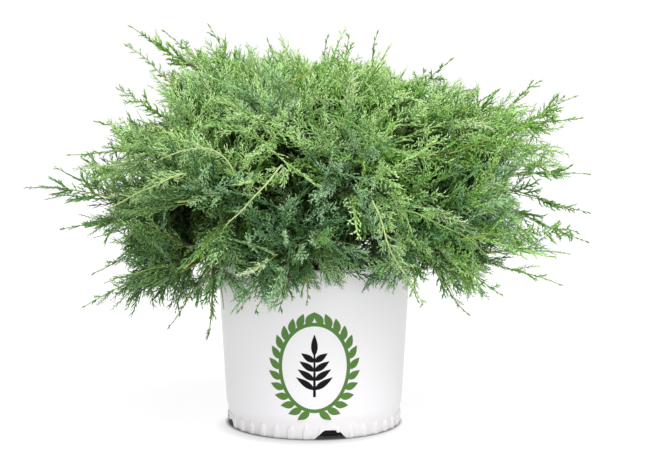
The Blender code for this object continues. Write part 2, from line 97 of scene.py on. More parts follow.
class Value:
    """A number or colour of a finish that changes over its surface. Numbers add and multiply."""

    def __init__(self, finish, socket):
        self.finish = finish
        self.socket = socket

    def maths(self, operation, first, second):
        return self.finish.node("ShaderNodeMath", {"operation": operation}, {0: first, 1: second})

    def __add__(self, other):
        return self.maths("ADD", self, other)

    __radd__ = __add__

    def __sub__(self, other):
        return self.maths("SUBTRACT", self, other)

    def __rsub__(self, other):
        return self.maths("SUBTRACT", other, self)

    def __mul__(self, other):
        return self.maths("MULTIPLY", self, other)

    __rmul__ = __mul__

    def at_least(self, other):
        return self.maths("MAXIMUM", self, other)

    def at_most(self, other):
        return self.maths("MINIMUM", self, other)


class Finish:
    """A material on a Principled shader, with the nodes that vary it."""

    def __init__(self, name, colour, roughness, **fixed):
        self.material = bpy.data.materials.new(name)
        self.material.use_nodes = True
        self.tree = self.material.node_tree
        self.shader = self.tree.nodes["Principled BSDF"]
        self.give(self.shader, {"Base Color": colour, "Roughness": roughness, **fixed})

    def give(self, node, sockets):
        for name, value in sockets.items():
            if isinstance(value, Value):
                self.tree.links.new(value.socket, node.inputs[name])
            elif isinstance(value, tuple) and len(value) == 3 and node.inputs[name].type == "RGBA":
                node.inputs[name].default_value = (*value, 1.0)
            else:
                node.inputs[name].default_value = value

    def node(self, kind, settings=None, sockets=None, out=0):
        """A node of a kind, its settings set first, then the values or links of its sockets."""
        made = self.tree.nodes.new(kind)
        for name, value in (settings or {}).items():
            setattr(made, name, value)
        self.give(made, sockets or {})
        return Value(self, made.outputs[out])

    def place(self):
        """Where a point of the surface is, in metres of the object's own frame."""
        return self.node("ShaderNodeTexCoord", out="Object")

    def noise(self, place, scale, detail=3.0, rough=0.5):
        sockets = {"Vector": place, "Scale": scale, "Detail": detail, "Roughness": rough}
        return self.node("ShaderNodeTexNoise", {"noise_dimensions": "3D"}, sockets)

    def mix(self, share, first, second):
        settings = {"data_type": "RGBA", "blend_type": "MIX"}
        return self.node("ShaderNodeMix", settings, {0: share, 6: first, 7: second}, out=2)

    def bump(self, height, strength, distance):
        sockets = {"Height": height, "Strength": strength, "Distance": distance}
        self.give(self.shader, {"Normal": self.node("ShaderNodeBump", None, sockets)})

    def vary(self, **sockets):
        self.give(self.shader, {name.replace("_", " "): value for name, value in sockets.items()})


def srgb(red, green, blue):
    """A colour as a screen shows it, 0 to 255, turned into a shader's light values."""
    return tuple(
        c / 12.92 if c <= 0.04045 else ((c + 0.055) / 1.055) ** 2.4
        for c in (red / 255, green / 255, blue / 255)
    )


def piece_of(name, points, faces, finishes, slots=None, smooth=True):
    """A new object from points and faces in the object's frame, with its finishes."""
    mesh = bpy.data.meshes.new(name)
    mesh.from_pydata([tuple(p) for p in points], [], [tuple(f) for f in faces])
    for finish in finishes:
        mesh.materials.append(finish.material)
    if slots is not None:
        mesh.polygons.foreach_set("material_index", slots)
    mesh.polygons.foreach_set("use_smooth", [smooth] * len(mesh.polygons))
    mesh.update()
    obj = bpy.data.objects.new(name, mesh)
    bpy.context.scene.collection.objects.link(obj)
    return obj


def pot_radius(height):
    return POT_FOOT_RADIUS + (POT_RIM_RADIUS - POT_FOOT_RADIUS) * height / POT_HEIGHT


def pot_inside(height):
    foot = POT_FOOT_RADIUS - POT_WALL - FLUTE_DEPTH
    share = (height - POT_FLOOR) / (POT_HEIGHT - POT_FLOOR)
    return foot + (POT_RIM_RADIUS - POT_WALL - foot) * share


def ease(share):
    share = min(1.0, max(0.0, share))
    return share * share * (3 - 2 * share)


def flute_depth(angle, height):
    """How far the foot's wall lies behind the faces of its round-topped ribs."""
    across = abs(FLUTES * angle / math.pi % 2 - 1)
    arch_foot = RIB_HEIGHT * 0.55
    rise = min(1.0, max(0.0, (height - arch_foot) / (RIB_HEIGHT - arch_foot)))
    half = RIB_WIDTH * math.sqrt(1 - rise * rise)
    rib = ease((half - across) / RIB_EDGE)
    fade = 1 - ease((height - RIB_HEIGHT) / (FLUTE_FADE - RIB_HEIGHT))
    return FLUTE_DEPTH * fade * (1 - rib)


def lathe(profile, sides):
    """Rings of a turned shape from (height, radius, share of the flutes' depth) places."""
    points = []
    for height, radius, fluted in profile:
        for i in range(sides):
            angle = 2 * math.pi * i / sides
            r = radius - fluted * flute_depth(angle, height)
            points.append(Vector((r * math.cos(angle), r * math.sin(angle), height)))
    faces = [tuple(reversed(range(sides)))]
    for k in range(len(profile) - 1):
        low, high = k * sides, (k + 1) * sides
        for i in range(sides):
            n = (i + 1) % sides
            faces.append((low + i, low + n, high + n, high + i))
    last = (len(profile) - 1) * sides
    faces.append(tuple(last + i for i in range(sides)))
    return points, faces


def pot_profile():
    """The pot's section: up the outside, round the lip and down the inside."""
    foot_round = 0.002
    section = [
        (0.0, POT_FOOT_RADIUS - foot_round, 0.4),
        (foot_round * 0.3, POT_FOOT_RADIUS - foot_round * 0.3, 0.8),
        (foot_round, pot_radius(foot_round), 1.0),
    ]
    for k in range(1, 19):
        height = foot_round + (FLUTE_FADE - foot_round) * k / 18
        section.append((height, pot_radius(height), 1.0))
    lip_foot = POT_HEIGHT - LIP_HEIGHT
    for k in range(1, 7):
        height = FLUTE_FADE + (lip_foot - FLUTE_FADE) * k / 6
        section.append((height, pot_radius(height), 0.0))
    roll = LIP_HEIGHT / 2
    for k in range(0, 11):
        turn = math.pi * (k / 10) - math.pi / 2
        height = POT_HEIGHT - roll + roll * math.sin(turn)
        radius = POT_RIM_RADIUS + (LIP_OUT + 0.0004) * math.cos(turn) ** 0.6 - 0.0004
        section.append((height, radius, 0.0))
    section.append((POT_HEIGHT - 0.0004, POT_RIM_RADIUS - 0.0014, 0.0))
    section.append((POT_HEIGHT - 0.0020, POT_RIM_RADIUS - POT_WALL, 0.0))
    for k in range(1, 7):
        height = POT_HEIGHT - 0.002 - (POT_HEIGHT - 0.002 - POT_FLOOR) * k / 6
        section.append((height, pot_inside(height), 0.0))
    return section


def notch_cutter(index):
    """A prism whose top steps down on one side, as the drain notches do."""
    half_foot, half_top = NOTCH_FOOT_WIDTH / 2, NOTCH_TOP_WIDTH / 2
    step_top = NOTCH_HEIGHT - NOTCH_STEP
    outline = (
        (-half_foot, -0.005), (half_foot, -0.005), (half_foot, 0.0004), (half_foot - 0.003, 0.0030),
        (half_top + 0.0035, step_top - 0.0018), (half_top + 0.0015, step_top),
        (half_top * 0.72, step_top), (half_top * 0.62, NOTCH_HEIGHT),
        (0.003 - half_top, NOTCH_HEIGHT), (-half_top, NOTCH_HEIGHT - 0.0016),
        (0.002 - half_foot, 0.0018), (-half_foot, 0.0004),
    )
    sides = len(outline)
    points = [
        Vector((r, across, height))
        for r in (pot_radius(0) - NOTCH_DEPTH, pot_radius(0) + 0.02)
        for across, height in outline
    ]
    faces = [tuple(reversed(range(sides))), tuple(range(sides, 2 * sides))]
    for i in range(sides):
        n = (i + 1) % sides
        faces.append((i, n, sides + n, sides + i))
    turn = Matrix.Rotation(NOTCH_TURN + 2 * math.pi * index / NOTCHES, 3, "Z")
    return piece_of("notch_cutter", [turn @ p for p in points], faces, [])


def settle(obj):
    """Applies an object's modifiers to its mesh."""
    graph = bpy.context.evaluated_depsgraph_get()
    made = bpy.data.meshes.new_from_object(obj.evaluated_get(graph))
    obj.modifiers.clear()
    obj.data = made


white_plastic = Finish("white_plastic", (0.88, 0.87, 0.88), 0.36)
place = white_plastic.place()
height = white_plastic.node("ShaderNodeSeparateXYZ", None, {"Vector": place}, out="Z")
clouds = white_plastic.noise(place, 14.0, 2.0)
dust = (1.0 - height * 28.0).at_least(0.0) * white_plastic.noise(place, 90.0, 5.0)
white_plastic.vary(
    Base_Color=white_plastic.mix(
        (dust * 0.35 + clouds * 0.04).at_most(1.0), srgb(244, 242, 245), srgb(200, 190, 182)
    ),
    Roughness=0.30 + clouds * 0.12 + dust * 0.2,
)
white_plastic.bump(white_plastic.noise(place, 420.0, 2.0), 0.12, 0.0004)

pot = piece_of("pot_shell", *lathe(pot_profile(), FLUTES * FLUTE_STEPS), [white_plastic])
cutters = [notch_cutter(index) for index in range(NOTCHES)]
for cutter in cutters:
    notch = pot.modifiers.new("notch", "BOOLEAN")
    notch.operation = "DIFFERENCE"
    notch.object = cutter
settle(pot)
for cutter in cutters:
    bpy.data.objects.remove(cutter)
pot.data.set_sharp_from_angle(angle=math.radians(35))
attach(pot, "root")
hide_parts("pot")


# Printed label. Green and black ink on the plastic, laid a hair's breadth proud of the wall: a plain
# black sprig inside an oval ring, with small leaves set round it as a wreath.
LABEL_MIDDLE = 0.102
LABEL_TURN = math.radians(-89.5)
LABEL_HALF_WIDTH = 0.048
LABEL_HALF_HEIGHT = 0.061
RING_WIDTH = 0.0052
RING_STEPS = 120
WREATH_LEAVES = 13  # a side
WREATH_LEAF = (0.021, 0.0050)  # length and half width
WREATH_LEAN = math.radians(48)
SPRIG_HALF_HEIGHT = 0.041
SPRIG_STEM = 0.0040
SPRIG_PAIRS = 4
SPRIG_LEAF = (0.030, 0.0043)
SPRIG_LEAN = math.radians(56)
LEAF_STEPS = 12
INK_PROUD = 0.00015


def on_pot(across, up):
    """The point of the pot's wall at a length round it and up it from the label's middle."""
    r = pot_radius(LABEL_MIDDLE + up) + INK_PROUD
    angle = LABEL_TURN + across / pot_radius(LABEL_MIDDLE)
    return Vector((r * math.cos(angle), r * math.sin(angle), LABEL_MIDDLE + up))


ink_points, ink_faces, ink_slots = [], [], []


def print_strip(left, right, ink):
    """Ink between two edges that have the same number of places on the wall."""
    first = len(ink_points)
    for a, b in zip(left, right):
        ink_points.extend((on_pot(*a), on_pot(*b)))
    for k in range(len(left) - 1):
        low = first + 2 * k
        ink_faces.append((low, low + 1, low + 3, low + 2))
        ink_slots.append(ink)


def print_leaf(across, up, lean, size, ink):
    """One plain pointed leaf that leans from upright by an angle."""
    length, half_width = size
    left, right = [], []
    for k in range(LEAF_STEPS + 1):
        share = k / LEAF_STEPS
        half = half_width * math.sin(math.pi * share ** 0.8) + 0.0002
        for edge, x in ((left, -half), (right, half)):
            y = length * share
            edge.append((
                across + x * math.cos(lean) + y * math.sin(lean),
                up - x * math.sin(lean) + y * math.cos(lean),
            ))
    print_strip(left, right, ink)


def on_ring(turn, further):
    return ((LABEL_HALF_WIDTH + further) * math.sin(turn), -(LABEL_HALF_HEIGHT + further) * math.cos(turn))


ring_turns = [2 * math.pi * k / RING_STEPS for k in range(RING_STEPS + 1)]
print_strip(
    [on_ring(turn, RING_WIDTH / 2) for turn in ring_turns],
    [on_ring(turn, -RING_WIDTH / 2) for turn in ring_turns], 0,
)
for k in range(WREATH_LEAVES):
    turn = math.pi * (k + 0.6) / (WREATH_LEAVES + 0.6)
    for side in (-1, 1):
        across, up = on_ring(side * turn, RING_WIDTH * 0.3)
        print_leaf(across, up, side * (math.pi - turn - WREATH_LEAN), WREATH_LEAF, 0)
stem_ends = ((SPRIG_STEM, -SPRIG_HALF_HEIGHT), (SPRIG_STEM * 0.6, SPRIG_HALF_HEIGHT - 0.02))
print_strip([(-w / 2, up) for w, up in stem_ends], [(w / 2, up) for w, up in stem_ends], 1)
for k in range(SPRIG_PAIRS):
    share = (k + 0.8) / SPRIG_PAIRS
    up = -SPRIG_HALF_HEIGHT + (2 * SPRIG_HALF_HEIGHT - 0.030) * share
    length = SPRIG_LEAF[0] * (1.1 - 0.4 * share)
    for side in (-1, 1):
        print_leaf(0.0, up, side * SPRIG_LEAN, (length, SPRIG_LEAF[1]), 1)
print_leaf(0.0, SPRIG_HALF_HEIGHT - 0.024, 0.0, SPRIG_LEAF, 1)

green_ink = Finish("green_ink", srgb(74, 122, 36), 0.42)
black_ink = Finish("black_ink", srgb(14, 12, 14), 0.42, **{"Specular IOR Level": 0.12})
for ink, dark, light in (
    (green_ink, srgb(68, 116, 30), srgb(82, 130, 44)),
    (black_ink, srgb(8, 6, 8), srgb(20, 18, 20)),
):
    ink_clouds = ink.noise(ink.place(), 60.0, 4.0)
    ink.vary(Base_Color=ink.mix(ink_clouds, dark, light), Roughness=0.36 + ink_clouds * 0.12)
label = piece_of(
    "printed_label", ink_points, ink_faces, [green_ink, black_ink], slots=ink_slots, smooth=False
)
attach(label, "root")


# Potting mix. Composted bark and peat that fills the pot to just under its lip, its top uneven and
# strewn with loose chips of bark.
GAP = 0.0003
MIX_TOP = 0.2165
MIX_RINGS = 26
MIX_SIDES = 96
MIX_RELIEF = 0.0022
CHIPS = 420
CHIP_LENGTHS = (0.004, 0.013)

mix_draw = random.Random(11)


def mix_height(x, y):
    """The level of the mix's top, lumpy at two scales."""
    broad = noise.noise(Vector((x * 30, y * 30, 1.7)))
    fine = noise.noise(Vector((x * 160, y * 160, 4.2)))
    return MIX_TOP - 0.0030 + MIX_RELIEF * (0.7 * broad + 0.6 * fine)


mix_points, mix_faces = [Vector((0, 0, mix_height(0, 0)))], []
for k in range(1, MIX_RINGS + 1):
    for i in range(MIX_SIDES):
        angle = 2 * math.pi * i / MIX_SIDES
        r = (pot_inside(MIX_TOP) - 2 * GAP) * k / MIX_RINGS
        x, y = r * math.cos(angle), r * math.sin(angle)
        mix_points.append(Vector((x, y, mix_height(x, y))))
for level in (MIX_TOP - 0.012, 0.10, POT_FLOOR + GAP):
    for i in range(MIX_SIDES):
        angle = 2 * math.pi * i / MIX_SIDES
        r = pot_inside(level) - 2 * GAP
        mix_points.append(Vector((r * math.cos(angle), r * math.sin(angle), level)))
for i in range(MIX_SIDES):
    mix_faces.append((0, 1 + i, 1 + (i + 1) % MIX_SIDES))
for k in range(MIX_RINGS + 2):
    inner, outer = 1 + k * MIX_SIDES, 1 + (k + 1) * MIX_SIDES
    for i in range(MIX_SIDES):
        n = (i + 1) % MIX_SIDES
        mix_faces.append((inner + i, outer + i, outer + n, inner + n))
lowest_ring = 1 + (MIX_RINGS + 2) * MIX_SIDES
mix_faces.append(tuple(lowest_ring + i for i in reversed(range(MIX_SIDES))))

composted_bark = Finish("composted_bark", srgb(58, 42, 32), 0.95)
mix_place = composted_bark.place()
crumbs = composted_bark.node("ShaderNodeTexVoronoi", None, {"Vector": mix_place, "Scale": 260.0})
soil_clouds = composted_bark.noise(mix_place, 120.0, 5.0)
mix_level = composted_bark.node("ShaderNodeSeparateXYZ", None, {"Vector": mix_place}, out="Z")
upper_mix = composted_bark.mix(soil_clouds * 1.6 - 0.3, srgb(34, 24, 18), srgb(96, 70, 50))
# Painted shade: the mix is near black below 4 cm, where it shows only through the drain notches, and takes its own
# browns by 8 cm.
composted_bark.vary(
    Base_Color=composted_bark.mix((mix_level * 25.0 - 1.0).at_least(0.0).at_most(1.0), srgb(22, 20, 20), upper_mix),
    Roughness=0.85 + crumbs * 0.1,
)
composted_bark.bump(crumbs + soil_clouds, 0.8, 0.0015)
mix = piece_of("potting_mix_relief", mix_points, mix_faces, [composted_bark])
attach(mix, "root")
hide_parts("potting_mix")

chip_points, chip_faces = [], []
for chip in range(CHIPS):
    angle = mix_draw.uniform(0, 2 * math.pi)
    r = 0.128 * math.sqrt(mix_draw.uniform(0.03, 1.0))
    long = mix_draw.uniform(*CHIP_LENGTHS)
    wide, thick = long * mix_draw.uniform(0.3, 0.6), long * mix_draw.uniform(0.12, 0.25)
    x, y = r * math.cos(angle), r * math.sin(angle)
    turn = Matrix.Rotation(mix_draw.uniform(0, math.pi), 3, "Z")
    turn = turn @ Matrix.Rotation(mix_draw.uniform(-0.4, 0.4), 3, "Y")
    lift = Vector((x, y, mix_height(x, y) + thick * 0.3))
    first = len(chip_points)
    for sx, sy, sz in ((-1, -1, -1), (1, -1, -1), (1, 1, -1), (-1, 1, -1),
                       (-1, -1, 1), (1, -1, 1), (1, 1, 1), (-1, 1, 1)):
        ragged = mix_draw.uniform(0.55, 1.0)
        corner = Vector((sx * long * ragged, sy * wide * ragged, sz * thick)) / 2
        chip_points.append(lift + turn @ corner)
    for face in ((3, 2, 1, 0), (4, 5, 6, 7), (0, 1, 5, 4), (1, 2, 6, 5), (2, 3, 7, 6), (3, 0, 4, 7)):
        chip_faces.append(tuple(first + c for c in face))
bark_chip = Finish("bark_chip", srgb(104, 74, 52), 0.9)
chip_place = bark_chip.place()
chip_clouds = bark_chip.noise(chip_place, 90.0, 4.0)
bark_chip.vary(
    Base_Color=bark_chip.mix(chip_clouds * 1.8 - 0.4, srgb(60, 40, 28), srgb(140, 102, 72)),
    Roughness=0.8 + chip_clouds * 0.15,
)
bark_chip.bump(bark_chip.noise(chip_place, 700.0, 3.0), 0.5, 0.0006)
chips = piece_of("bark_chips", chip_points, chip_faces, [bark_chip], smooth=False)
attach(chips, "root")


# Crown. The rule that places limbs and foliage: shoots set out from one centre in a golden-angle
# spiral, arch over by their own weight, and stop at the crown's outline or at a long shoot's tip.
CROWN_CENTRE = Vector((0.0, 0.0, 0.305))
DROOP = 0.55
SLOPES = (-45, -30, -15, 0, 15, 30, 45, 60, 75, 90)
REACH_RIGHT = (0.170, 0.235, 0.310, 0.362, 0.368, 0.335, 0.280, 0.248, 0.242, 0.240)
REACH_LEFT = (0.190, 0.255, 0.305, 0.335, 0.335, 0.322, 0.308, 0.278, 0.248, 0.240)
REACH_FRONT = (0.155, 0.195, 0.268, 0.305, 0.315, 0.310, 0.275, 0.250, 0.245, 0.240)
REACH_BACK = (0.200, 0.250, 0.295, 0.325, 0.330, 0.320, 0.290, 0.260, 0.245, 0.240)
LONG_TIPS = (
    (-0.411, -0.03, 0.343), (-0.375, 0.05, 0.276), (-0.309, -0.08, 0.226), (-0.316, -0.12, 0.185),
    (-0.202, -0.10, 0.153), (-0.146, -0.13, 0.142), (-0.267, 0.03, 0.574), (-0.276, -0.05, 0.484),
    (-0.328, 0.08, 0.435), (-0.351, -0.02, 0.389), (-0.226, 0.10, 0.570), (-0.150, 0.00, 0.574),
    (-0.070, 0.08, 0.556), (0.020, 0.02, 0.560), (0.049, -0.05, 0.557), (0.093, 0.05, 0.567),
    (0.167, 0.10, 0.510), (0.198, 0.00, 0.526), (0.256, -0.08, 0.482), (0.334, 0.06, 0.495),
    (0.377, 0.00, 0.473), (0.373, -0.07, 0.443), (0.402, 0.03, 0.359), (0.388, -0.06, 0.310),
    (0.409, 0.07, 0.255), (0.351, -0.05, 0.206), (0.256, -0.14, 0.204), (0.216, -0.10, 0.171),
    (0.139, -0.19, 0.202), (-0.075, -0.24, 0.196), (-0.100, -0.20, 0.190), (-0.045, -0.215, 0.194),
    (-0.008, -0.222, 0.204), (0.020, -0.345, 0.300), (-0.160, -0.290, 0.260),
    (0.175, 0.320, 0.240), (-0.120, 0.360, 0.310), (-0.230, 0.270, 0.420), (0.120, 0.300, 0.480),
)
MASSES = 21
FIRST_AZIMUTH = math.radians(212)
LOWEST_SLOPE = math.radians(-14)
GOLDEN_ANGLE = math.radians(137.508)
SKIRT_BELOW = math.radians(9)
TOP_ABOVE = math.radians(38)
MASS_START = 0.115
SKIRT_START = 0.152
STEM_LENGTH = 0.012
LOWEST_SHOOT = math.radians(-43)


def unit(slope, azimuth):
    level = math.cos(slope)
    return Vector((level * math.cos(azimuth), level * math.sin(azimuth), math.sin(slope)))


def mass_directions():
    lowest = math.sin(LOWEST_SLOPE)
    rises = [lowest + (1 - lowest) * (i + 0.5) / MASSES for i in range(MASSES)]
    return [unit(math.asin(rise), FIRST_AZIMUTH + i * GOLDEN_ANGLE) for i, rise in enumerate(rises)]


DIRECTIONS = mass_directions()


def drooped(direction, distance):
    """Where a shoot that sets out from the crown's centre has arched to at a distance."""
    p = CROWN_CENTRE + direction * distance
    p.z -= DROOP * (p.x * p.x + p.y * p.y)
    return p


def heading(direction, distance):
    step = 0.001
    return (drooped(direction, distance + step) - drooped(direction, distance - step)).normalized()


def undrooped(point):
    v = point - CROWN_CENTRE
    return Vector((v.x, v.y, v.z + DROOP * (point.x * point.x + point.y * point.y)))


def outline_reach(v):
    """How far the crown reaches from its centre towards v."""
    level = math.hypot(v.x, v.y)
    slope = math.degrees(math.atan2(v.z, level))
    across = (v.x / level) ** 2 if level > 1e-9 else 0.5
    side = np.interp(slope, SLOPES, REACH_RIGHT if v.x > 0 else REACH_LEFT)
    depth = np.interp(slope, SLOPES, REACH_BACK if v.y > 0 else REACH_FRONT)
    return float(side * across + depth * (1 - across))


def crown_reach(direction):
    distance = 0.3
    for _ in range(12):
        v = drooped(direction, distance) - CROWN_CENTRE
        distance *= outline_reach(v) / v.length
    return distance


def owner(v):
    return max(range(MASSES), key=lambda i: v.dot(DIRECTIONS[i]))


def mass_slope(index):
    return math.asin(DIRECTIONS[index].z)


def mass_start(index):
    return SKIRT_START if mass_slope(index) < SKIRT_BELOW else MASS_START


def mass_name(index):
    slope = mass_slope(index)
    level = "skirt" if slope < SKIRT_BELOW else "middle" if slope < TOP_ABOVE else "top"
    return "foliage_%s_%02d" % (level, index + 1)


def clear_of_pot(point, margin):
    if point.z > POT_HEIGHT + margin:
        return True
    return math.hypot(point.x, point.y) > POT_RIM_RADIUS + LIP_OUT + margin


# Trunk and boughs. A short trunk, flared at the mix, and the boughs that spiral up it, all in thin
# red-brown bark that splits lengthwise into fibrous strips.
TRUNK_HEIGHT = 0.130
TRUNK_FOOT_RADIUS = 0.0150
TRUNK_TIP_RADIUS = 0.0075
FLARE_OUT = 0.0060
FLARE_HEIGHT = 0.0100
FLARE_LOBES = 5
TRUNK_LEAN = Vector((0.010, -0.006, 0.0))
TRUNK_SIDES = 64
TRUNK_RINGS = 70
BOUGH_FOOT_RADII = (0.0062, 0.0042)
BOUGH_TIP_RADIUS = 0.0034
BOUGH_SIDES = 18
BOUGH_RINGS = 30
LOWEST_BOUGH = 0.021
HIGHEST_BOUGH = 0.122
BARK_RELIEF = 0.10


def trunk_axis(height):
    share = height / TRUNK_HEIGHT
    return Vector((0, 0, MIX_TOP + GAP + height)) + TRUNK_LEAN * share * share


def bough_path(index, steps):
    axis = DIRECTIONS[index]
    share = index / (MASSES - 1)
    foot = trunk_axis(LOWEST_BOUGH + (HIGHEST_BOUGH - LOWEST_BOUGH) * share)
    end_distance = mass_start(index) - STEM_LENGTH
    end = drooped(axis, end_distance)
    length = (end - foot).length
    level = Vector((axis.x, axis.y, 0)).normalized()
    rise = math.radians(32 + 20 * share)
    leave = (level * math.cos(rise) + Vector((0, 0, math.sin(rise)))) * length
    arrive = heading(axis, end_distance) * length
    path = []
    for k in range(steps):
        t = k / (steps - 1)
        path.append(
            foot * (2 * t**3 - 3 * t**2 + 1) + leave * (t**3 - 2 * t**2 + t)
            + end * (-2 * t**3 + 3 * t**2) + arrive * (t**3 - t**2)
        )
    return path


def frames_along(path):
    """A pair of directions square to a path at each of its points, carried along without twist."""
    tangents = [
        (path[min(k + 1, len(path) - 1)] - path[max(k - 1, 0)]).normalized() for k in range(len(path))
    ]
    across = tangents[0].orthogonal().normalized()
    pairs = []
    for tangent in tangents:
        across = (across - tangent * across.dot(tangent)).normalized()
        pairs.append((across, tangent.cross(across)))
    return pairs


def bark_limb(points, faces, path, radii, sides, flare=None):
    """Adds a limb with lengthwise strips of bark raised on it."""
    first = len(points)
    run = 0.0
    for k, (centre, (across, other)) in enumerate(zip(path, frames_along(path))):
        run += (centre - path[k - 1]).length if k else 0.0
        for i in range(sides):
            a = 2 * math.pi * i / sides
            strip = noise.noise(Vector((math.cos(a) * 4.0, math.sin(a) * 4.0, run * 22 + first)))
            fibre = noise.noise(Vector((math.cos(a) * 11.0, math.sin(a) * 11.0, run * 70 + first)))
            r = radii[k] * (1 + BARK_RELIEF * (strip + 0.5 * fibre))
            if flare:
                r += flare(run, a)
            points.append(centre + across * (r * math.cos(a)) + other * (r * math.sin(a)))
    faces.append(tuple(first + i for i in reversed(range(sides))))
    for k in range(len(path) - 1):
        low, high = first + k * sides, first + (k + 1) * sides
        for i in range(sides):
            n = (i + 1) % sides
            faces.append((low + i, low + n, high + n, high + i))
    last = first + (len(path) - 1) * sides
    faces.append(tuple(last + i for i in range(sides)))


def root_flare(height, angle):
    return FLARE_OUT * math.exp(-height / FLARE_HEIGHT) * (1 + 0.5 * math.cos(FLARE_LOBES * angle))


strip_bark = Finish("strip_bark", srgb(128, 92, 70), 0.88)
bark_place = strip_bark.place()
stretch = strip_bark.node(
    "ShaderNodeMapping", None, {"Vector": bark_place, "Scale": (420.0, 420.0, 60.0)}
)
fibres = strip_bark.noise(stretch, 1.0, 5.0, 0.6)
patches = strip_bark.noise(bark_place, 60.0, 3.0)
strip_bark.vary(
    Base_Color=strip_bark.mix(
        (fibres * 1.5 + patches * 0.5 - 0.5).at_least(0.0).at_most(1.0),
        srgb(78, 52, 38), srgb(164, 124, 96),
    ),
    Roughness=0.78 + fibres * 0.15,
)
strip_bark.bump(fibres, 0.7, 0.0012)

trunk_points, trunk_faces = [], []
trunk_steps = [TRUNK_HEIGHT * k / (TRUNK_RINGS - 1) for k in range(TRUNK_RINGS)]
trunk_radii = [
    TRUNK_FOOT_RADIUS + (TRUNK_TIP_RADIUS - TRUNK_FOOT_RADIUS) * h / TRUNK_HEIGHT for h in trunk_steps
]
trunk_radii[-1] *= 0.55
bark_limb(
    trunk_points, trunk_faces, [trunk_axis(h) for h in trunk_steps], trunk_radii, TRUNK_SIDES, root_flare
)
trunk = piece_of("trunk_bark", trunk_points, trunk_faces, [strip_bark])
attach(trunk, "root")
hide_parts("trunk")

bough_points, bough_faces = [], []
for index in range(MASSES):
    path = bough_path(index, BOUGH_RINGS)
    thickest, thinnest = BOUGH_FOOT_RADII
    foot_radius = thickest + (thinnest - thickest) * index / (MASSES - 1)
    radii = [
        foot_radius + (BOUGH_TIP_RADIUS - foot_radius) * k / (BOUGH_RINGS - 1) for k in range(BOUGH_RINGS)
    ]
    bark_limb(bough_points, bough_faces, path, radii, BOUGH_SIDES)
boughs = piece_of("bough_bark", bough_points, bough_faces, [strip_bark])
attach(boughs, "root")
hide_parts(*["bough_%02d" % (index + 1) for index in range(MASSES)])


# Twigs. From each bough's tip a stem runs on through its mass and forks into arching twigs, brown
# at the foot, tan further out and yellow-green where they are this year's growth.
FINE_SHOOTS = 600
FINE_SHARES = (0.80, 1.02)  # of the crown's reach
STRAY_SHARE = 0.14
STRAY_REACH = (1.04, 1.13)
BAYS = (  # where sky shows into the crown's outline and through it, as seen from the front at
    # the trunk's distance: across, height, radius
    (-0.275, 0.479, 0.029), (-0.243, 0.466, 0.025), (-0.322, 0.271, 0.017), (-0.305, 0.245, 0.022),
    (-0.328, 0.233, 0.017), (-0.320, 0.201, 0.014), (-0.147, 0.175, 0.016), (-0.164, 0.226, 0.016),
    (0.280, 0.224, 0.023), (0.138, 0.519, 0.020), (0.001, 0.537, 0.016), (0.342, 0.315, 0.035),
    (0.356, 0.291, 0.023), (0.238, 0.521, 0.014), (0.309, 0.352, 0.020), (-0.322, 0.410, 0.017),
    (-0.036, 0.556, 0.012), (-0.335, 0.323, 0.012), (0.062, 0.536, 0.014), (0.248, 0.195, 0.012),
    (-0.282, 0.221, 0.010), (0.173, 0.201, 0.016), (-0.209, 0.541, 0.012), (-0.241, 0.519, 0.013),
    (-0.347, 0.130, 0.029), (-0.306, 0.145, 0.013),
)
BAY_CLEARED = 0.88
LEAST_REACH = 0.21
LEAST_TWIG = 0.03
RECESSES = (  # shaded hollows in its front
    (-0.185, 0.297, 0.032), (-0.197, 0.265, 0.020), (0.167, 0.375, 0.016),
)
RECESS_FRONT = -0.10
SWELLS = (  # and where its shoots reach further
    (-0.317, 0.367, 0.032), (0.314, 0.403, 0.026), (-0.227, 0.192, 0.032), (-0.293, 0.424, 0.023),
    (0.313, 0.254, 0.023), (0.110, 0.201, 0.017), (0.218, 0.183, 0.023), (-0.238, 0.539, 0.023),
    (-0.288, 0.186, 0.017),
)
SWELL = 1.15
SKIRT_BELOW_CENTRE = -0.04
SKIRT_ACROSS = (-0.32, -0.25, -0.17, -0.10, -0.04, 0.0, 0.08, 0.16, 0.22, 0.26)
SKIRT_HANG = (1.12, 1.06, 0.94, 1.20, 1.09, 0.94, 0.92, 0.84, 0.99, 1.00)  # share of the crown's reach
TWIG_SIDES = 5
TWIG_STEPS = 9
STEM_TIP_RADIUS = 0.0011
TWIG_FOOT_RADIUS = 0.0017
TWIG_TIP_RADIUS = 0.0005
TWIG_SWAY = 0.008
CREASE_DEPTH = 0.07
CREASE_WIDTH = 0.16
LEADER_RADII = (0.0012, 0.0006)
LEADER_STEPS = 12
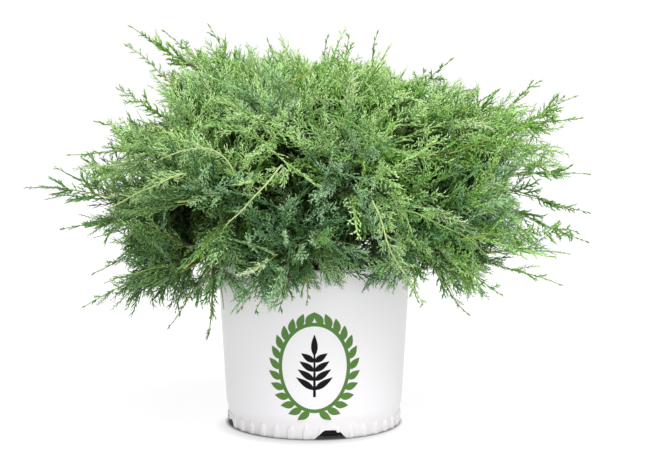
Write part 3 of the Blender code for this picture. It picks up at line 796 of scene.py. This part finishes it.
LEADERS = (  # this year's strong shoots that cross the crown: foot, bend, tip, wood and greens
    ((-0.036, -0.295, 0.388), (-0.070, -0.325, 0.353), (-0.104, -0.336, 0.317), "pale", "pale"),
    ((0.072, -0.300, 0.343), (0.112, -0.315, 0.258), (0.138, -0.285, 0.212), "pale", "pale"),
    ((-0.160, -0.240, 0.377), (-0.200, -0.270, 0.362), (-0.262, -0.245, 0.330), "pale", "pale"),
    ((-0.098, -0.280, 0.378), (-0.128, -0.300, 0.410), (-0.186, -0.300, 0.398), "pale", "pale"),
    ((0.135, -0.200, 0.398), (0.230, -0.160, 0.412), (0.350, -0.060, 0.470), "brown", "fresh"),
    ((0.190, -0.220, 0.290), (0.260, -0.180, 0.292), (0.372, -0.060, 0.282), "tan", "fresh"),
    ((0.110, -0.270, 0.330), (0.170, -0.270, 0.310), (0.226, -0.240, 0.268), "green", "leaf"),
    ((-0.040, -0.180, 0.490), (0.010, -0.190, 0.512), (0.050, -0.170, 0.520), "tan", "fresh"),
    ((-0.190, -0.040, 0.480), (-0.225, -0.020, 0.512), (-0.268, 0.000, 0.545), "tan", "fresh"),
    ((0.000, -0.230, 0.452), (0.050, -0.270, 0.440), (0.098, -0.290, 0.402), "green", "leaf"),
    ((0.060, 0.240, 0.450), (0.110, 0.290, 0.430), (0.150, 0.310, 0.380), "green", "pale"),
    ((-0.110, 0.260, 0.420), (-0.150, 0.300, 0.370), (-0.180, 0.290, 0.310), "green", "leaf"),
    ((0.240, 0.180, 0.400), (0.300, 0.160, 0.390), (0.340, 0.110, 0.340), "tan", "fresh"),
    ((-0.250, 0.150, 0.400), (-0.300, 0.100, 0.370), (-0.330, 0.060, 0.320), "green", "pale"),
)

brown_twig = Finish("brown_twig", srgb(100, 78, 60), 0.8)
tan_twig = Finish("tan_twig", srgb(156, 158, 68), 0.7)
green_twig = Finish("green_twig", srgb(146, 176, 92), 0.6)
pale_twig = Finish("pale_twig", srgb(188, 206, 136), 0.6)
for wood, dark, light in (
    (brown_twig, srgb(84, 64, 46), srgb(122, 98, 74)),
    (tan_twig, srgb(134, 138, 54), srgb(180, 178, 84)),
    (green_twig, srgb(116, 150, 72), srgb(156, 186, 100)),
    (pale_twig, srgb(168, 192, 114), srgb(206, 220, 156)),
):
    flecks = wood.noise(wood.place(), 300.0, 3.0)
    wood.vary(Base_Color=wood.mix(flecks, dark, light))

twig_draw = random.Random(8)
noise.seed_set(4)


def twig_point(index, direction, foot, end, share):
    """A point of a twig that leaves its mass's stem and turns towards its own direction."""
    turned = 1 - (1 - share) ** 1.6
    way = DIRECTIONS[index].lerp(direction, turned).normalized()
    point = drooped(way, foot + (end - foot) * share)
    return point + noise.noise_vector(point * 11.0) * (TWIG_SWAY * 4 * share * (1 - share))


def crease(direction):
    """How much shorter a shoot is near the border of two masses, where the crown has a hollow."""
    nearest = sorted((direction.angle(other) for other in DIRECTIONS))
    return 1 - CREASE_DEPTH * max(0.0, 1 - (nearest[1] - nearest[0]) / CREASE_WIDTH)


def seen_at(point):
    """Where a point seems to lie, across and up, at the trunk's distance from the front's beholder."""
    nearer = -CAMERA_PLACE[1] / (point.y - CAMERA_PLACE[1])
    return (CAMERA_PLACE[0] + (point.x - CAMERA_PLACE[0]) * nearer,
            CAMERA_PLACE[2] + (point.z - CAMERA_PLACE[2]) * nearer)


def seen_in(point, circles):
    x, z = seen_at(point)
    return any(math.hypot(x - across, z - height) < radius for across, height, radius in circles)


def in_bay(point):
    """True where the crown stands open, right through or only at its front."""
    return seen_in(point, BAYS + RECESSES if point.y < RECESS_FRONT else BAYS)


def hang(point):
    """How much further than the crown's reach a shoot goes that ends near a point."""
    more = SWELL if seen_in(point, SWELLS) else 1.0
    if point.z - CROWN_CENTRE.z < SKIRT_BELOW_CENTRE:
        more *= float(np.interp(point.x, SKIRT_ACROSS, SKIRT_HANG))
    return more


def crown_twigs():
    """Every twig as mass, direction, distances of foot and end, and whether it is a long shoot.
    The masses' spiral is carried on in finer steps, and each twig leaves the stem of its mass."""
    found = []
    for tip in LONG_TIPS:
        v = undrooped(Vector(tip))
        found.append((owner(v), v.normalized(), v.length * twig_draw.uniform(0.34, 0.44), v.length, True))
    lowest = math.sin(LOWEST_SHOOT)
    for j in range(FINE_SHOOTS):
        rise = lowest + (1 - lowest) * (j + 0.5) / FINE_SHOOTS
        direction = unit(math.asin(rise), j * GOLDEN_ANGLE + twig_draw.uniform(-0.12, 0.12))
        share = twig_draw.uniform(*FINE_SHARES) * crease(direction)
        if twig_draw.random() < STRAY_SHARE:
            share = twig_draw.uniform(*STRAY_REACH)
        end = crown_reach(direction) * share
        end *= hang(drooped(direction, end))
        kept_back = twig_draw.random() < BAY_CLEARED
        while kept_back and end > LEAST_REACH and in_bay(drooped(direction, end)):
            end *= 0.94
        found.append((owner(direction), direction, end * twig_draw.uniform(0.40, 0.56), end, False))
    return [
        (index, direction, max(mass_start(index) + 0.004, foot), end, long)
        for index, direction, foot, end, long in found
    ]


wood_points, wood_faces, wood_slots = [], [], []


def add_twig(path, foot_radius, tip_radius, grown):
    """A slim twig along a path. Its finish changes where its share of the way passes grown's two marks."""
    first = len(wood_points)
    last = len(path) - 1
    for k, (centre, (across, other)) in enumerate(zip(path, frames_along(path))):
        r = foot_radius + (tip_radius - foot_radius) * k / last
        for i in range(TWIG_SIDES):
            a = 2 * math.pi * i / TWIG_SIDES
            wood_points.append(centre + across * (r * math.cos(a)) + other * (r * math.sin(a)))
    wood_faces.append(tuple(first + i for i in reversed(range(TWIG_SIDES))))
    wood_slots.append(0)
    for k in range(last):
        low, high = first + k * TWIG_SIDES, first + (k + 1) * TWIG_SIDES
        slot = sum(k / last >= mark for mark in grown)
        for i in range(TWIG_SIDES):
            n = (i + 1) % TWIG_SIDES
            wood_faces.append((low + i, low + n, high + n, high + i))
            wood_slots.append(slot)
    end = first + last * TWIG_SIDES
    wood_faces.append(tuple(end + i for i in range(TWIG_SIDES)))
    wood_slots.append(2)


twigs = []
for index in range(MASSES):
    start = mass_start(index) - STEM_LENGTH
    reach = crown_reach(DIRECTIONS[index]) * 0.9
    stem = [
        drooped(DIRECTIONS[index], start + (reach - start) * k / TWIG_STEPS) for k in range(TWIG_STEPS + 1)
    ]
    add_twig(stem, BOUGH_TIP_RADIUS, STEM_TIP_RADIUS, (0.55, 0.8))
for index, direction, foot, end, long in crown_twigs():
    path = [twig_point(index, direction, foot, end, k / TWIG_STEPS) for k in range(TWIG_STEPS + 1)]
    crosses = not long and sum(in_bay(p) for p in path) > 2
    if end > foot + LEAST_TWIG and not crosses and all(clear_of_pot(p, 0.003) for p in path):
        twigs.append((index, direction, foot, end, long))
        add_twig(path if long else path[:-2], TWIG_FOOT_RADIUS, TWIG_TIP_RADIUS, (0.45, 0.6))
leaders = []
for foot, bend, tip, bark, family in LEADERS:
    foot, bend, tip = Vector(foot), Vector(bend), Vector(tip)
    path = []
    for k in range(LEADER_STEPS + 1):
        t = k / LEADER_STEPS
        point = foot * (1 - t) ** 2 + (2 * bend - (foot + tip) / 2) * (2 * t * (1 - t)) + tip * t * t
        path.append(point + noise.noise_vector(point * 25.0) * 0.006)
    leaders.append((owner(undrooped(bend)), path, family))
    marks = {"brown": (0.25, 0.45), "tan": (-1, 0.35), "green": (-1, -1), "pale": (-1, -1, -1)}[bark]
    add_twig(path, *LEADER_RADII, marks)
wood = piece_of(
    "twig_wood", wood_points, wood_faces, [brown_twig, tan_twig, green_twig, pale_twig],
    slots=wood_slots,
)
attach(wood, "root")


# Foliage. Feathery plumes of cord-like shoots, closed in tiny scale leaves and forked twice. They sit
# along the twigs and one ends each twig: yellow-green and blue-green, paler where they grow. Their greens
# carry painted light and shade: lighter upwards, darker on the lower left and on the inner sprays.
PLUME_LENGTHS = (0.064, 0.096)
INNER_LENGTHS = (0.080, 0.115)
WHIP_LENGTH = 0.105
LONG_BARE = 0.115
LONG_FORKS = (1, 3, 4)  # the steps of its tip where a long shoot forks
HANGING_BELOW = 0.230
HANGING_WITHIN = 0.345
SPRAY_PITCH = 0.0185
INNER_PITCH = 0.0105
TUFT_LENGTH = 0.030
LEADER_TUFT_LENGTH = 0.022
TUFT_SHORTEST = 0.0055
TUFT_SHARE = 0.28
TUFT_SIZES = (0.40, 0.50, 0.60, 0.90, 1.40)
TUFT_PITCH = 0.0062
TUFT_THIN = 0.040  # the stretch at a shoot's tip where they stand further apart
SPRAY_TURN = (math.radians(32), math.radians(76))
UPWARD = (0.10, 0.55)  # low in the crown and at its top
SPRAY_PROUD = 0.004
DRIFT_START = Vector((-0.8, 6.3, 4.7))
SHADE_FROM = 0.42
PAINTED_LIGHT_AND_SHADE = (  # painted light and shade: where its greens are lighter or darker, seen as the bays are, and by how many steps
    (-0.081, 0.410, 0.081, 1.2), (0.193, 0.387, 0.064, -1.8), (-0.148, 0.306, 0.043, -1.0),
    (-0.113, 0.245, 0.052, 0.9), (0.016, 0.254, 0.049, -0.9), (-0.249, 0.291, 0.046, 1.4),
    (-0.110, 0.329, 0.043, -0.8), (-0.042, 0.352, 0.049, 1.1), (-0.014, 0.410, 0.052, 0.9),
    (0.127, 0.404, 0.035, -1.2), (0.286, 0.355, 0.046, 1.2), (0.230, 0.467, 0.049, 1.0),
    (0.127, 0.300, 0.035, 0.8), (-0.292, 0.349, 0.032, -0.7),
)
HOLLOW_PLACES = 1000
HOLLOW_CONE = math.cos(0.11)
HOLLOW_TIPS = 8
HOLLOW_TIPS_ABOVE = 12
PIECE_TRIANGLES = 195000
# Each family runs from dark to light greens. A spray's step is partly painted light and shade (see tone), and the
# inner greens are partly painted shade for the crown's inside.
GREENS = (
    ("inner", (srgb(62, 86, 42), srgb(80, 110, 54))),
    ("fresh", (srgb(88, 132, 48), srgb(124, 174, 76), srgb(166, 214, 118), srgb(208, 240, 170))),
    ("leaf", (srgb(74, 118, 54), srgb(106, 156, 80), srgb(146, 196, 118), srgb(194, 228, 166))),
    ("blue", (srgb(64, 101, 56), srgb(92, 137, 84), srgb(128, 173, 120), srgb(178, 212, 166))),
    ("shade", (srgb(56, 84, 36), srgb(78, 114, 56), srgb(106, 146, 82), srgb(140, 178, 112))),
    ("pale", (srgb(138, 180, 108), srgb(166, 202, 132), srgb(192, 220, 156), srgb(212, 232, 184))),
    ("dead", (srgb(104, 80, 44), srgb(152, 128, 70))),
)

SPRAY_SEED = 7
spray_draw = random.Random(SPRAY_SEED)
finishes = []
family_slot = {}
for family, greens in GREENS:
    family_slot[family] = (len(finishes), len(greens) - 1)
    for number, green in enumerate(greens):
        scale = Finish("%s_scale_%d" % (family, number + 1), green, 0.6)
        scale.vary(Specular_IOR_Level=0.25)
        finishes.append(scale)


class Spray:
    """One form of spray, a unit long, built lying along x and spread across y."""

    def __init__(self, draw):
        self.draw = draw
        self.points, self.faces, self.steps = [], [], []

    def shoot(self, path, radius, step):
        """Adds a three-sided cord along a path, blunt until its last stretch. Its foot, sunk in the
        limb it grows from, has no face."""
        first = len(self.points)
        rings = len(path) - 1
        for k, (centre, (across, other)) in enumerate(zip(path[:-1], frames_along(path))):
            r = radius * (1 - 0.3 * k / rings)
            for i in range(3):
                a = 2 * math.pi * i / 3 + k
                self.points.append(centre + across * (r * math.cos(a)) + other * (r * math.sin(a)))
        self.points.append(path[-1])
        faces = []
        for k in range(rings - 1):
            low, high = first + 3 * k, first + 3 * (k + 1)
            for i in range(3):
                n = (i + 1) % 3
                faces += [(low + i, low + n, high + n), (low + i, high + n, high + i)]
        low, tip = first + 3 * (rings - 1), first + 3 * rings
        faces += [(low + i, low + (i + 1) % 3, tip) for i in range(3)]
        self.faces += faces
        self.steps += [step] * len(faces)

    def fork(self, foot, tip, pitch, lengths, radius, step):
        """Short pointed cords by turns along both sides of a shoot, aimed forward."""
        aim = (tip - foot).normalized()
        count = max(1, round((tip - foot).length / pitch))
        side = self.draw.choice((-1, 1))
        for k in range(count):
            side = -side
            flat = Vector((-aim.y, aim.x, 0)).normalized() * side
            roll = self.draw.uniform(-0.9, 0.9)
            out = flat * math.cos(roll) + Vector((0, 0, 1)) * math.sin(roll)
            turn = self.draw.uniform(0.42, 0.75)
            way = aim * math.cos(turn) + out * math.sin(turn)
            share = (k + 0.75) / count
            place = foot.lerp(tip, share * 0.9)
            length = self.draw.uniform(*lengths) * (1.15 - 0.5 * share)
            self.shoot([place, place + way * length], radius, step)


def spray_form(draw, sides, radius, spread, bare_from, pitch, stubs):
    """A spray whose side shoots leave its axis by turns up to a share of its length. Their lengths, at
    the axis's foot, middle and tip, are shares of its own, and their stubs are a pitch apart."""
    form = Spray(draw)
    sway = draw.uniform(-0.07, 0.07)

    def axis(t):
        return Vector((t, sway * math.sin(2.8 * t), 0.0))

    form.shoot([axis(t) for t in (0.0, 0.4, 0.75, 1.0)], radius * 1.1, 0)
    for j in range(sides):
        t = 0.04 + (bare_from - 0.04) * (j + draw.uniform(-0.25, 0.25)) / sides
        side = 1 if j % 2 else -1
        turn = draw.uniform(0.55, 0.85)
        roll = draw.uniform(-0.7, 0.7)
        length = float(np.interp(t, (0.0, 0.4, 1.0), spread)) * draw.uniform(0.75, 1.2)
        out = Vector((0, side * math.cos(roll), math.sin(roll)))
        foot = axis(max(t, 0.0))
        bend = foot + (Vector((1, 0, 0)) * math.cos(turn) + out * math.sin(turn)) * (length * 0.5)
        turn -= 0.25
        tip = bend + (Vector((1, 0, 0)) * math.cos(turn) + out * math.sin(turn)) * (length * 0.5)
        form.shoot([foot, bend, tip] if length > 0.14 else [foot, tip], radius, 0)
        form.fork(foot, tip, pitch, stubs, radius * 0.9, 1)
    form.fork(axis(bare_from * 0.8), axis(1.0), pitch, stubs, radius * 0.9, 1)
    return np.array([tuple(p) for p in form.points]), np.array(form.faces), np.array(form.steps)


forms, kinds = [], {}
for kind, count, sides, radius, spread, bare_from, pitch, stubs in (
    ("plume", 12, 14, 0.0124, (0.15, 0.25, 0.09), 0.90, 0.068, (0.062, 0.096)),
    ("whip", 8, 14, 0.0128, (0.22, 0.17, 0.06), 0.97, 0.066, (0.048, 0.078)),
    ("inner", 4, 9, 0.0200, (0.26, 0.36, 0.12), 0.95, 0.150, (0.10, 0.15)),
    ("tuft", 8, 6, 0.0440, (0.36, 0.40, 0.20), 0.92, 0.200, (0.14, 0.22)),
    ("stub", 4, 2, 0.1150, (0.42, 0.42, 0.28), 0.70, 0.600, (0.30, 0.40)),
):
    kinds[kind] = range(len(forms), len(forms) + count)
    for _ in range(count):
        forms.append(spray_form(spray_draw, sides, radius, spread, bare_from, pitch, stubs))
placed = {index: [] for index in range(MASSES)}


def in_box(point):
    """True inside the box of the crown's solids, or a few millimetres proud of it."""
    return all(
        low - SPRAY_PROUD < p < high + SPRAY_PROUD for low, p, high in zip(cad_box[0], point, cad_box[1])
    )


def fits_crown(point):
    v = point - CROWN_CENTRE
    if in_bay(point) and spray_draw.random() < BAY_CLEARED:
        return False
    return v.length < outline_reach(v) * hang(point)


def place_spray(index, kind, foot, aim, length, family, step):
    """Sets a spray where it clears the pot, turned about its own length at random."""
    aim = aim.normalized()
    guarded = kind not in ("tuft", "stub") and spray_draw.random() < BAY_CLEARED
    for _ in range(4):
        flat = Matrix.Rotation(spray_draw.uniform(0, 2 * math.pi), 3, aim) @ aim.orthogonal().normalized()
        probes = [
            foot + aim * (length * x) + flat * (length * y)
            for x, y in ((0.4, 0.2), (0.4, -0.2), (0.8, 0.12), (0.8, -0.12), (1.0, 0.0))
        ]
        shut = guarded and any(in_bay(p) for p in probes)
        if not shut and all(clear_of_pot(p, 0.004) and in_box(p) for p in probes):
            turn = np.array([tuple(aim), tuple(flat), tuple(aim.cross(flat))]) * length
            bend = spray_draw.uniform(-0.22, 0.28)
            form = spray_draw.choice(kinds[kind])
            placed[index].append((form, np.array(tuple(foot)), turn, bend, family, step))
            return


def turned_off(ahead, roll, angle):
    """A way that leaves a limb's heading by an angle, at a roll about it."""
    hinge = Matrix.Rotation(roll, 3, ahead) @ ahead.orthogonal().normalized()
    return (Matrix.Rotation(angle, 3, hinge) @ ahead).normalized()


def inner_sprays(index, path):
    """Coarse dark sprays along a limb, which close the crown's inside to the light. Their dark greens are partly
    older foliage and partly painted shade.
    """
    run = 0.0
    for here, there in zip(path, path[1:]):
        run += (there - here).length
        if run > INNER_PITCH:
            run = 0.0
            aim = turned_off((there - here).normalized(), spray_draw.uniform(0, 6.28), spray_draw.uniform(0.5, 1.3))
            length = spray_draw.uniform(*INNER_LENGTHS)
            if fits_crown(CROWN_CENTRE + (here + aim * length - CROWN_CENTRE) * 1.22):
                family = "dead" if spray_draw.random() < 0.012 else "inner"
                place_spray(index, "inner", here, aim, length, family, 0)


def twig_family(point):
    """The family of greens of a twig: yellower towards the top, bluer low down, in drifts, and
    the darker shade greens on the left and low down, which are painted shade."""
    drift = 0.9 * noise.noise(point * 9.0 + DRIFT_START) + spray_draw.uniform(-0.30, 0.30)
    fresh = (point.z - 0.35) * 2.0 + drift
    painted_shade = 0.5 * noise.noise(point * 7.0) + spray_draw.uniform(-0.2, 0.2)
    # Painted shade: the shade greens go more to the left side and lower down.
    painted_shade -= 1.3 * point.x + 2.2 * (point.z - 0.33)
    if painted_shade > SHADE_FROM:
        return "shade"
    return "fresh" if fresh > 0.06 else "blue" if fresh < -0.16 else "leaf"


def tone(point, share):
    """How far up its family's greens a spray starts: lighter towards its twig's tip, painted lighter upwards, and
    painted lighter or darker in the listed places seen from the front.
    """
    # Painted light from above: higher sprays take lighter greens.
    light = 3.0 * share + 4.2 * (point.z - 0.32) + spray_draw.uniform(-0.4, 0.4)
    x, z = seen_at(point)
    # Painted light and shade in the listed places, seen from the front.
    for across, height, radius, more in PAINTED_LIGHT_AND_SHADE if point.y < 0 else ():
        light += more * max(0.0, 1 - math.hypot(x - across, z - height) / radius)
    return int(min(max(light, 0), 2))


def add_tufts(index, path, longest, family, step):
    """Stubby side shoots by turns along both sides of a shoot, shorter and sparser towards its tip."""
    side = spray_draw.choice((-1, 1))
    left = sum((there - here).length for here, there in zip(path, path[1:]))
    run = 0.0
    for here, there in zip(path, path[1:]):
        ahead = (there - here).normalized()
        outward = undrooped(here).normalized()
        span = (there - here).length
        while run < span:
            side = -side
            across = ahead.cross(outward).normalized() * side
            turn = spray_draw.uniform(0.42, 0.8)
            out = (across + outward * spray_draw.uniform(-0.6, 0.6)).normalized()
            aim = ahead * math.cos(turn) + out * math.sin(turn)
            size = min(longest, TUFT_SHORTEST + TUFT_SHARE * (left - run))
            size *= spray_draw.choice(TUFT_SIZES) * spray_draw.uniform(0.85, 1.15)
            foot = here.lerp(there, run / span)
            place_spray(index, "tuft" if size > 0.011 else "stub", foot, aim, size, family, step)
            run += TUFT_PITCH * (1.0 if left - run > TUFT_THIN else 1.35)
        run -= span
        left -= span
    place_spray(index, "stub", path[-1] - ahead * 0.004, ahead, 0.007, family, step)


for index in range(MASSES):
    inner_sprays(index, bough_path(index, BOUGH_RINGS)[BOUGH_RINGS // 2:])
    start = mass_start(index) - STEM_LENGTH
    reach = crown_reach(DIRECTIONS[index]) * 0.66
    inner_sprays(index, [drooped(DIRECTIONS[index], start + (reach - start) * k / 20) for k in range(21)])

for index, direction, foot, end, long in twigs:
    # Drawn for each twig afresh, so that it keeps its sprays when another twig changes.
    spray_draw.seed(SPRAY_SEED + round(1e6 * (direction.x + 2 * direction.z)))
    tip = drooped(direction, end)
    family = twig_family(tip)
    inner_sprays(index, [twig_point(index, direction, foot, end, k / 40) for k in range(9)])
    distance = foot + 0.20 * (end - foot)
    roll = spray_draw.uniform(0, 2 * math.pi)
    hangs = long and tip.z < HANGING_BELOW and math.hypot(tip.x, tip.y) < HANGING_WITHIN
    while distance < end - (LONG_BARE if long and not hangs else 0.030):
        share = (distance - foot) / (end - foot)
        here = twig_point(index, direction, foot, end, share)
        ahead = (twig_point(index, direction, foot, end, share + 0.02) - here).normalized()
        roll += GOLDEN_ANGLE
        upward = float(np.interp(here.z, (0.28, 0.46), UPWARD))
        aim = turned_off(ahead, roll, spray_draw.uniform(*SPRAY_TURN)) + Vector((0, 0, upward))
        aim = aim.normalized()
        length = spray_draw.uniform(*PLUME_LENGTHS)
        if long:
            length = min(length, (0.8 if hangs else 0.45) * (end - distance))
        step = tone(here, share)
        for _ in range(4):
            if long or fits_crown(here + aim * length):
                place_spray(index, "plume", here, aim, length, family, step)
                break
            length *= 0.85
        distance += SPRAY_PITCH * spray_draw.uniform(0.8, 1.2)
    if long:
        share = max(0.05, 1 - LONG_BARE / (end - foot))
        tip_path = [
            twig_point(index, direction, foot, end, share + (1 - share) * k / TWIG_STEPS)
            for k in range(TWIG_STEPS + 1)
        ]
        family = "fresh" if family == "fresh" else "leaf"
        add_tufts(index, tip_path, TUFT_LENGTH, family, 1)
        for k in LONG_FORKS:
            ahead = (tip_path[k + 1] - tip_path[k]).normalized()
            way = turned_off(ahead, spray_draw.uniform(0, 2 * math.pi), spray_draw.uniform(0.4, 0.75))
            size = (tip_path[-1] - tip_path[k]).length * spray_draw.uniform(0.45, 0.7)
            place_spray(index, "whip", tip_path[k], way, size, family, 1)
        continue
    ending = "whip" if spray_draw.random() < 0.45 else "plume"
    share = max(0.3, 1 - WHIP_LENGTH / (end - foot) * (1.0 if ending == "whip" else 0.8))
    base = twig_point(index, direction, foot, end, share)
    family = "pale" if spray_draw.random() < 0.07 else family
    place_spray(index, ending, base, tip - base, (tip - base).length, family, tone(tip, 0.9))


def outer_tips():
    """The directions in which sprays end near the crown's outline."""
    found = []
    for sprays in placed.values():
        for form, foot, turn, *_ in sprays:
            tip = Vector(foot + turn[0])
            v = tip - CROWN_CENTRE
            if form not in kinds["inner"] and v.length > 0.78 * outline_reach(v):
                found.append(tuple(undrooped(tip).normalized()))
    return found


# Side shoots lean into the hollows that are left between the twigs.
tips = outer_tips()
lowest = math.sin(LOWEST_SHOOT)
for j in range(HOLLOW_PLACES):
    spray_draw.seed(SPRAY_SEED + j)
    direction = unit(math.asin(lowest + (1 - lowest) * (j + 0.5) / HOLLOW_PLACES), 1.0 + j * GOLDEN_ANGLE)
    held = int((np.array(tips) @ np.array(tuple(direction)) > HOLLOW_CONE).sum())
    index, way, foot, end, long = max(
        (twig for twig in twigs if not twig[4]), key=lambda twig: twig[1].dot(direction)
    )
    behind = direction.y > 0.3 and direction.z < 0.05
    above = direction.z > 0.25 and direction.y < 0.2
    wanted = HOLLOW_TIPS_ABOVE if above or behind else HOLLOW_TIPS
    for _ in range((wanted - held + 1) // 2):
        target = drooped(direction, crown_reach(direction) * spray_draw.uniform(0.84, 0.98))
        base = twig_point(index, way, foot, end, spray_draw.uniform(0.35, 0.70))
        aim = target - base
        length = min(aim.length, PLUME_LENGTHS[1])
        if fits_crown(base + aim.normalized() * length):
            place_spray(index, "plume", base, aim, length, twig_family(target), tone(target, 0.8))
            tips.append(tuple(direction))

# A last few close what still shows light over the pot's rim, along the lower half of each bough.
spray_draw.seed(SPRAY_SEED)
for index in range(MASSES):
    inner_sprays(index, bough_path(index, BOUGH_RINGS)[1:BOUGH_RINGS // 2])
for index, path, family in leaders:
    add_tufts(index, path, LEADER_TUFT_LENGTH, family, 1)


def foliage_piece(name, indices):
    """Joins the sprays of a few masses into one mesh, each spray in its own greens."""
    points, faces, slots = [], [], []
    first = 0
    for index in indices:
        for number, foot, turn, bend, family, step in placed[index]:
            form_points, form_faces, steps = forms[number]
            local = form_points.copy()
            local[:, 2] += bend * local[:, 0] ** 2
            points.append(local @ turn + foot)
            faces.append(form_faces + first)
            darkest, most = family_slot[family]
            slots.append(darkest + np.minimum(steps + step, most))
            first += len(form_points)
    points, faces, slots = np.concatenate(points), np.concatenate(faces), np.concatenate(slots)
    mesh = bpy.data.meshes.new(name)
    mesh.vertices.add(len(points))
    mesh.vertices.foreach_set("co", points.astype(np.float32).ravel())
    mesh.loops.add(faces.size)
    mesh.loops.foreach_set("vertex_index", faces.astype(np.int32).ravel())
    mesh.polygons.add(len(faces))
    mesh.polygons.foreach_set("loop_start", np.arange(0, faces.size, 3, dtype=np.int32))
    mesh.polygons.foreach_set("material_index", slots.astype(np.int32))
    mesh.polygons.foreach_set("use_smooth", np.ones(len(faces), bool))
    mesh.update(calc_edges=True)
    for finish in finishes:
        mesh.materials.append(finish.material)
    obj = bpy.data.objects.new(name, mesh)
    bpy.context.scene.collection.objects.link(obj)
    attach(obj, "root")
    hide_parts(*[mass_name(index) for index in indices])
    return len(faces)


group, count, number, total = [], 0, 1, 0
for index in range(MASSES):
    size = sum(len(forms[form][1]) for form, *_ in placed[index])
    if group and count + size > PIECE_TRIANGLES:
        total += foliage_piece("sprays_%02d" % number, group)
        group, count, number = [], 0, number + 1
    group.append(index)
    count += size
total += foliage_piece("sprays_%02d" % number, group)
for kind, numbers in kinds.items():
    held = [form for sprays in placed.values() for form, *_ in sprays if form in numbers]
    print(kind, len(held), sum(len(forms[form][1]) for form in held))
print("spray triangles", total, "twigs", len(twigs))


# Floor and light. A pale studio floor that glows evenly and meets a white surround, with a painted contact
# shadow round the pot's foot, and broad soft light from above and in front.
FLOOR_SIZE = 80.0
SURROUND_LIGHT = 0.35
CARD_WHITE = 1.0
PAINTED_FLOOR_SHADOWS = (  # painted contact shadow, the floor's glow darkened round the pot's foot: middle, radii, least share
    ((-0.0005, 0.0, 0.0), (0.1235, 0.1305), 0.0), ((-0.0065, -0.025, 0.0), (0.098, 0.1365), 0.5),
)

pale_floor = Finish("pale_floor", (0.10, 0.10, 0.10), 0.8)
floor_place, open_share = pale_floor.place(), 1.0
for middle, (near, far), least in PAINTED_FLOOR_SHADOWS:
    points = {0: floor_place, 1: middle}
    away = pale_floor.node("ShaderNodeVectorMath", {"operation": "DISTANCE"}, points, out="Value")
    share = ((away - near) * (1 / (far - near))).at_least(0.0).at_most(1.0)
    open_share = (least + share * (1 - least)) * open_share
# Painted contact shadow: the glow fades towards near black close round the pot's foot.
pale_floor.vary(
    Emission_Color=pale_floor.mix(open_share, (0.03, 0.03, 0.03), (1.0, 1.0, 1.0)), Emission_Strength=0.92
)
half = FLOOR_SIZE / 2
floor = piece_of(
    "floor", [(-half, -half, 0), (half, -half, 0), (half, half, 0), (-half, half, 0)], [(0, 1, 2, 3)],
    [pale_floor],
)

world = bpy.data.worlds.new("studio")
world.use_nodes = True
sky = world.node_tree.nodes
surround = sky["Background"]
surround.inputs["Color"].default_value = (1.0, 1.0, 1.0, 1.0)
surround.inputs["Strength"].default_value = SURROUND_LIGHT
white_card = sky.new("ShaderNodeBackground")
white_card.inputs["Color"].default_value = (1.0, 1.0, 1.0, 1.0)
white_card.inputs["Strength"].default_value = CARD_WHITE
seen = sky.new("ShaderNodeLightPath")
either = sky.new("ShaderNodeMixShader")
world.node_tree.links.new(seen.outputs["Is Camera Ray"], either.inputs[0])
world.node_tree.links.new(surround.outputs[0], either.inputs[1])
world.node_tree.links.new(white_card.outputs[0], either.inputs[2])
world.node_tree.links.new(either.outputs[0], sky["World Output"].inputs["Surface"])
bpy.context.scene.world = world
bpy.context.scene.view_settings.view_transform = "Standard"

for name, elevation, azimuth, softness, strength in (
    ("softbox_above", 64, -66, 45, 3.0),
    ("softbox_front", 10, -84, 60, 1.0),
):
    lamp = bpy.data.objects.new(name, bpy.data.lights.new(name, "SUN"))
    lamp.data.angle = math.radians(softness)
    lamp.data.energy = strength
    aim = -unit(math.radians(elevation), math.radians(azimuth))
    lamp.rotation_euler = aim.to_track_quat("-Z", "Y").to_euler()
    bpy.context.scene.collection.objects.link(lamp)
